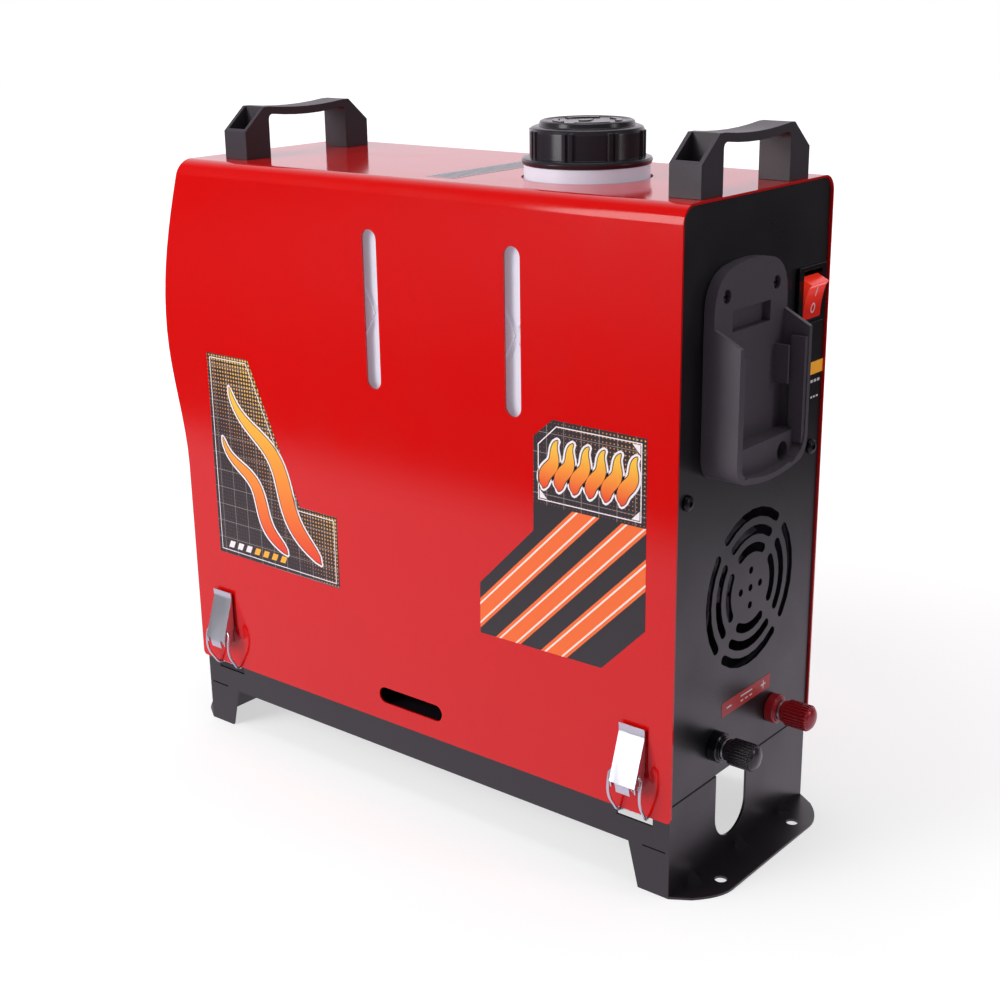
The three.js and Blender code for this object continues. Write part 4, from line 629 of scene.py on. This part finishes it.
cast_aluminium = grain(
    material("sand_cast_aluminium", "a5a7aa", 0.55, Metallic=1.0), 0.0012, 0.00015,
    roughness=(0.48, 0.66), tint="97999d")
turned_steel = grain(
    material("turned_steel", "9a9ca0", 0.34, Metallic=1.0), 0.0006, 0.00001,
    roughness=(0.28, 0.42))
fan_plastic = grain(
    material("grey_fan_plastic", "858088", 0.34, IOR=1.5), 0.0008, 0.00003, roughness=(0.28, 0.42))
for node, made in (
        ("heater_casing", matt_moulding), ("heat_exchanger", cast_aluminium),
        ("burner", cast_aluminium), ("blower_motor", turned_steel),
        ("motor_shaft", turned_steel), ("fan_wheel", fan_plastic),
        ("outlet_collar", matt_moulding), ("outlet_louvre", matt_moulding)):
    eased(node, made, 0.0004)

# ---------------------------------------------------------------- below the heater
# The bracket under the casing, the exhaust and intake stubs, and the fuel run from the tank's
# filter through the pump to the burner. All of it is out of sight in the photograph.

for node, made in (
        ("exhaust_stub", turned_steel), ("intake_stub", turned_steel),
        ("heater_bracket", bare_sheet), ("fuel_pump", turned_steel),
        ("pump_holder", seal_rubber), ("fuel_filter", natural_plastic_painted_glow),
        ("fuel_hose", seal_rubber), ("delivery_line", seal_rubber)):
    eased(node, made, 0.0003)

# ---------------------------------------------------------------- floor and light
# A plain white table in an open white room. The camera sees white all round, and the object's
# shadow. The table's front edge, and the floor before it painted with a dim pool of lamp light, are
# what the gloss faces mirror.

floor_reach = 6.0
floor_mesh = bpy.data.meshes.new("floor")
floor_mesh.from_pydata(
    [(-floor_reach, -floor_reach, 0), (floor_reach, -floor_reach, 0),
     (floor_reach, floor_reach, 0), (-floor_reach, floor_reach, 0)], [], [(0, 1, 2, 3)])
floor = bpy.data.objects.new("floor", floor_mesh)
bpy.context.scene.collection.objects.link(floor)
paper = bpy.data.materials.new("white_paper")
paper.use_nodes = True
tree = paper.node_tree
tree.nodes.clear()
ray = add(tree, "LightPath")
place = add(tree, "TexCoord").outputs["Object"]
apart = add(tree, "SeparateXYZ", {0: place}).outputs
# Gloss faces mirror the white sheet up to its front and side edges, and beyond them a dim painted
# pool of lamp light on the floor, brightest before the front lamp.
sheet_front, sheet_side, sheet_shine = (-0.63, -0.49), (0.92, 0.42), 0.84
front_edge = add(tree, "MapRange", {"Value": apart["Y"], "From Min": sheet_front[0],
                                    "From Max": sheet_front[1]},
                 interpolation_type="SMOOTHSTEP").outputs[0]
aside = add(tree, "VectorMath", {0: place, 1: (0.77, 0.63, 0)},
            operation="DOT_PRODUCT").outputs["Value"]
side_edge = add(tree, "MapRange", {"Value": aside, "From Min": sheet_side[0],
                                   "From Max": sheet_side[1]},
                interpolation_type="SMOOTHSTEP").outputs[0]
white = add(tree, "Math", {0: front_edge, 1: side_edge}, operation="MULTIPLY").outputs[0]
# Emission that fades with distance from a point before the front lamp: a painted pool of lamp
# light, seen only in reflections.
lamp_gap = add(tree, "VectorMath", {0: place, 1: (-0.9, -2.4, 0)},
               operation="DISTANCE").outputs["Value"]
painted_lamp_pool = add(tree, "MapRange", {"Value": lamp_gap, "From Min": 0.3, "From Max": 1.5,
                                   "To Min": 0.4, "To Max": 0.05}).outputs[0]
shine = add(tree, "Mix", {0: white, 2: painted_lamp_pool, 3: sheet_shine}).outputs[0]
far = add(tree, "MapRange", {
    "Value": add(tree, "VectorMath", {0: place}, operation="LENGTH").outputs["Value"],
    "From Min": 0.3, "From Max": 1.2, "To Min": 0.6, "To Max": 1.0})
sheet = add(tree, "BsdfDiffuse", {"Color": (0.62, 0.59, 0.63, 1)})
glossy_sheet = add(tree, "Emission", {"Color": (0.97, 0.88, 1, 1), "Strength": shine})
seen_sheet = add(tree, "Emission", {"Strength": far.outputs["Result"]})
seen = add(tree, "AddShader")
half_sheet = add(tree, "BsdfDiffuse", {"Color": (0.5, 0.5, 0.5, 1)})
tree.links.new(seen_sheet.outputs[0], seen.inputs[0])
tree.links.new(half_sheet.outputs[0], seen.inputs[1])
mirrored = add(tree, "MixShader", {0: ray.outputs["Is Glossy Ray"], 1: sheet.outputs[0],
                                   2: glossy_sheet.outputs[0]})
clear = add(tree, "Math", {0: ray.outputs["Is Camera Ray"],
                           1: ray.outputs["Is Transmission Ray"]}, operation="MAXIMUM")
chosen = add(tree, "MixShader", {0: clear.outputs[0], 1: mirrored.outputs[0],
                                 2: seen.outputs[0]})
add(tree, "OutputMaterial", {"Surface": chosen.outputs[0]})
floor_mesh.materials.append(paper)

world = bpy.data.worlds.new("white_room")
bpy.context.scene.world = world
world.use_nodes = True
tree = world.node_tree
tree.nodes.clear()
ray = add(tree, "LightPath")
aim = add(tree, "VectorMath", {0: add(tree, "TexCoord").outputs["Generated"],
                               1: (-0.63, 0.77, 0)}, operation="DOT_PRODUCT")
behind = add(tree, "MapRange", {"Value": aim.outputs["Value"], "From Min": 0.3, "From Max": 0.75,
                                "To Min": 0.1, "To Max": 1.0})
room_tint = (0.98, 0.93, 1, 1)
dim_side = add(tree, "VectorMath", {0: add(tree, "TexCoord").outputs["Generated"],
                                    1: (1, 0, 0)}, operation="DOT_PRODUCT")
soft = add(tree, "MapRange", {"Value": dim_side.outputs["Value"], "From Min": -0.2,
                              "From Max": 0.7, "To Min": 0.46, "To Max": 0.16})
room = add(tree, "Background", {"Color": room_tint, "Strength": soft.outputs[0]})
mirror_room = add(tree, "Background", {"Color": room_tint, "Strength": behind.outputs[0]})
backdrop = add(tree, "Background", {"Color": (1, 1, 1, 1), "Strength": 1.0})
mirrored = add(tree, "MixShader", {0: ray.outputs["Is Glossy Ray"], 1: room.outputs[0],
                                   2: mirror_room.outputs[0]})
clear = add(tree, "Math", {0: ray.outputs["Is Camera Ray"],
                           1: ray.outputs["Is Transmission Ray"]}, operation="MAXIMUM")
chosen = add(tree, "MixShader", {0: clear.outputs[0], 1: mirrored.outputs[0],
                                 2: backdrop.outputs[0]})
add(tree, "OutputWorld", {"Surface": chosen.outputs[0]})


def softbox(name, place, target, size, power):
    """A rectangular area light at a place, turned to face a target: its own Z points away from
    the target, its X is level, and its Y is square to both."""
    light = bpy.data.lights.new(name, "AREA")
    light.shape = "RECTANGLE"
    light.size, light.size_y = size
    light.energy = power
    box = bpy.data.objects.new(name, light)
    bpy.context.scene.collection.objects.link(box)
    aim = np.array(target, float) - np.array(place, float)
    aim /= np.linalg.norm(aim)
    across = np.cross(aim, (0, 0, 1))
    across /= np.linalg.norm(across)
    turn = np.stack([across, np.cross(across, aim), -aim], axis=1)
    box.matrix_world = Matrix([[*turn[i], place[i]] for i in range(3)] + [[0, 0, 0, 1]])
    box.visible_camera = False
    return box


# The fill lights the front without showing in the gloss faces.
softbox("front_strip", (-0.85, -1.85, 0.85), (0, 0, 0.2), (0.7, 1.5), 15)
softbox("side_strip", (1.9, 0.55, 0.8), (0.1, 0, 0.2), (0.35, 1.2), 5)
softbox("top_softbox", (0, 0.1, 2.2), (0, 0, 0.3), (1.4, 1.4), 14)
fill = softbox("front_fill", (-1.1, -1.9, 1.0), (0, 0, 0.2), (1.9, 1.5), 31)
fill.visible_glossy = False

# ---------------------------------------------------------------- camera
# The camera stands where the photograph's did, found by fitting its lines to the solids. It
# looks along the long side from the control end, and down by about 18 degrees.

camera_place = np.array([0.6035, -0.7223, 0.4863])
azimuth, elevation, roll = (math.radians(v) for v in (39.44, 18.30, -0.87))
back = np.array([
    math.sin(azimuth) * math.cos(elevation),
    -math.cos(azimuth) * math.cos(elevation),
    math.sin(elevation)])
right = np.cross(-back, (0, 0, 1))
right /= np.linalg.norm(right)
up = np.cross(right, -back)
right_rolled = math.cos(roll) * right + math.sin(roll) * up
up_rolled = -math.sin(roll) * right + math.cos(roll) * up
lens = bpy.data.cameras.new("camera")
lens.lens = 57.68
lens.sensor_width = 36
camera = bpy.data.objects.new("camera", lens)
bpy.context.scene.collection.objects.link(camera)
axes = np.stack([right_rolled, up_rolled, back], axis=1)
camera.matrix_world = Matrix([[*axes[i], camera_place[i]] for i in range(3)] + [[0, 0, 0, 1]])
bpy.context.scene.camera = camera
bpy.context.scene.view_settings.view_transform = "Standard"
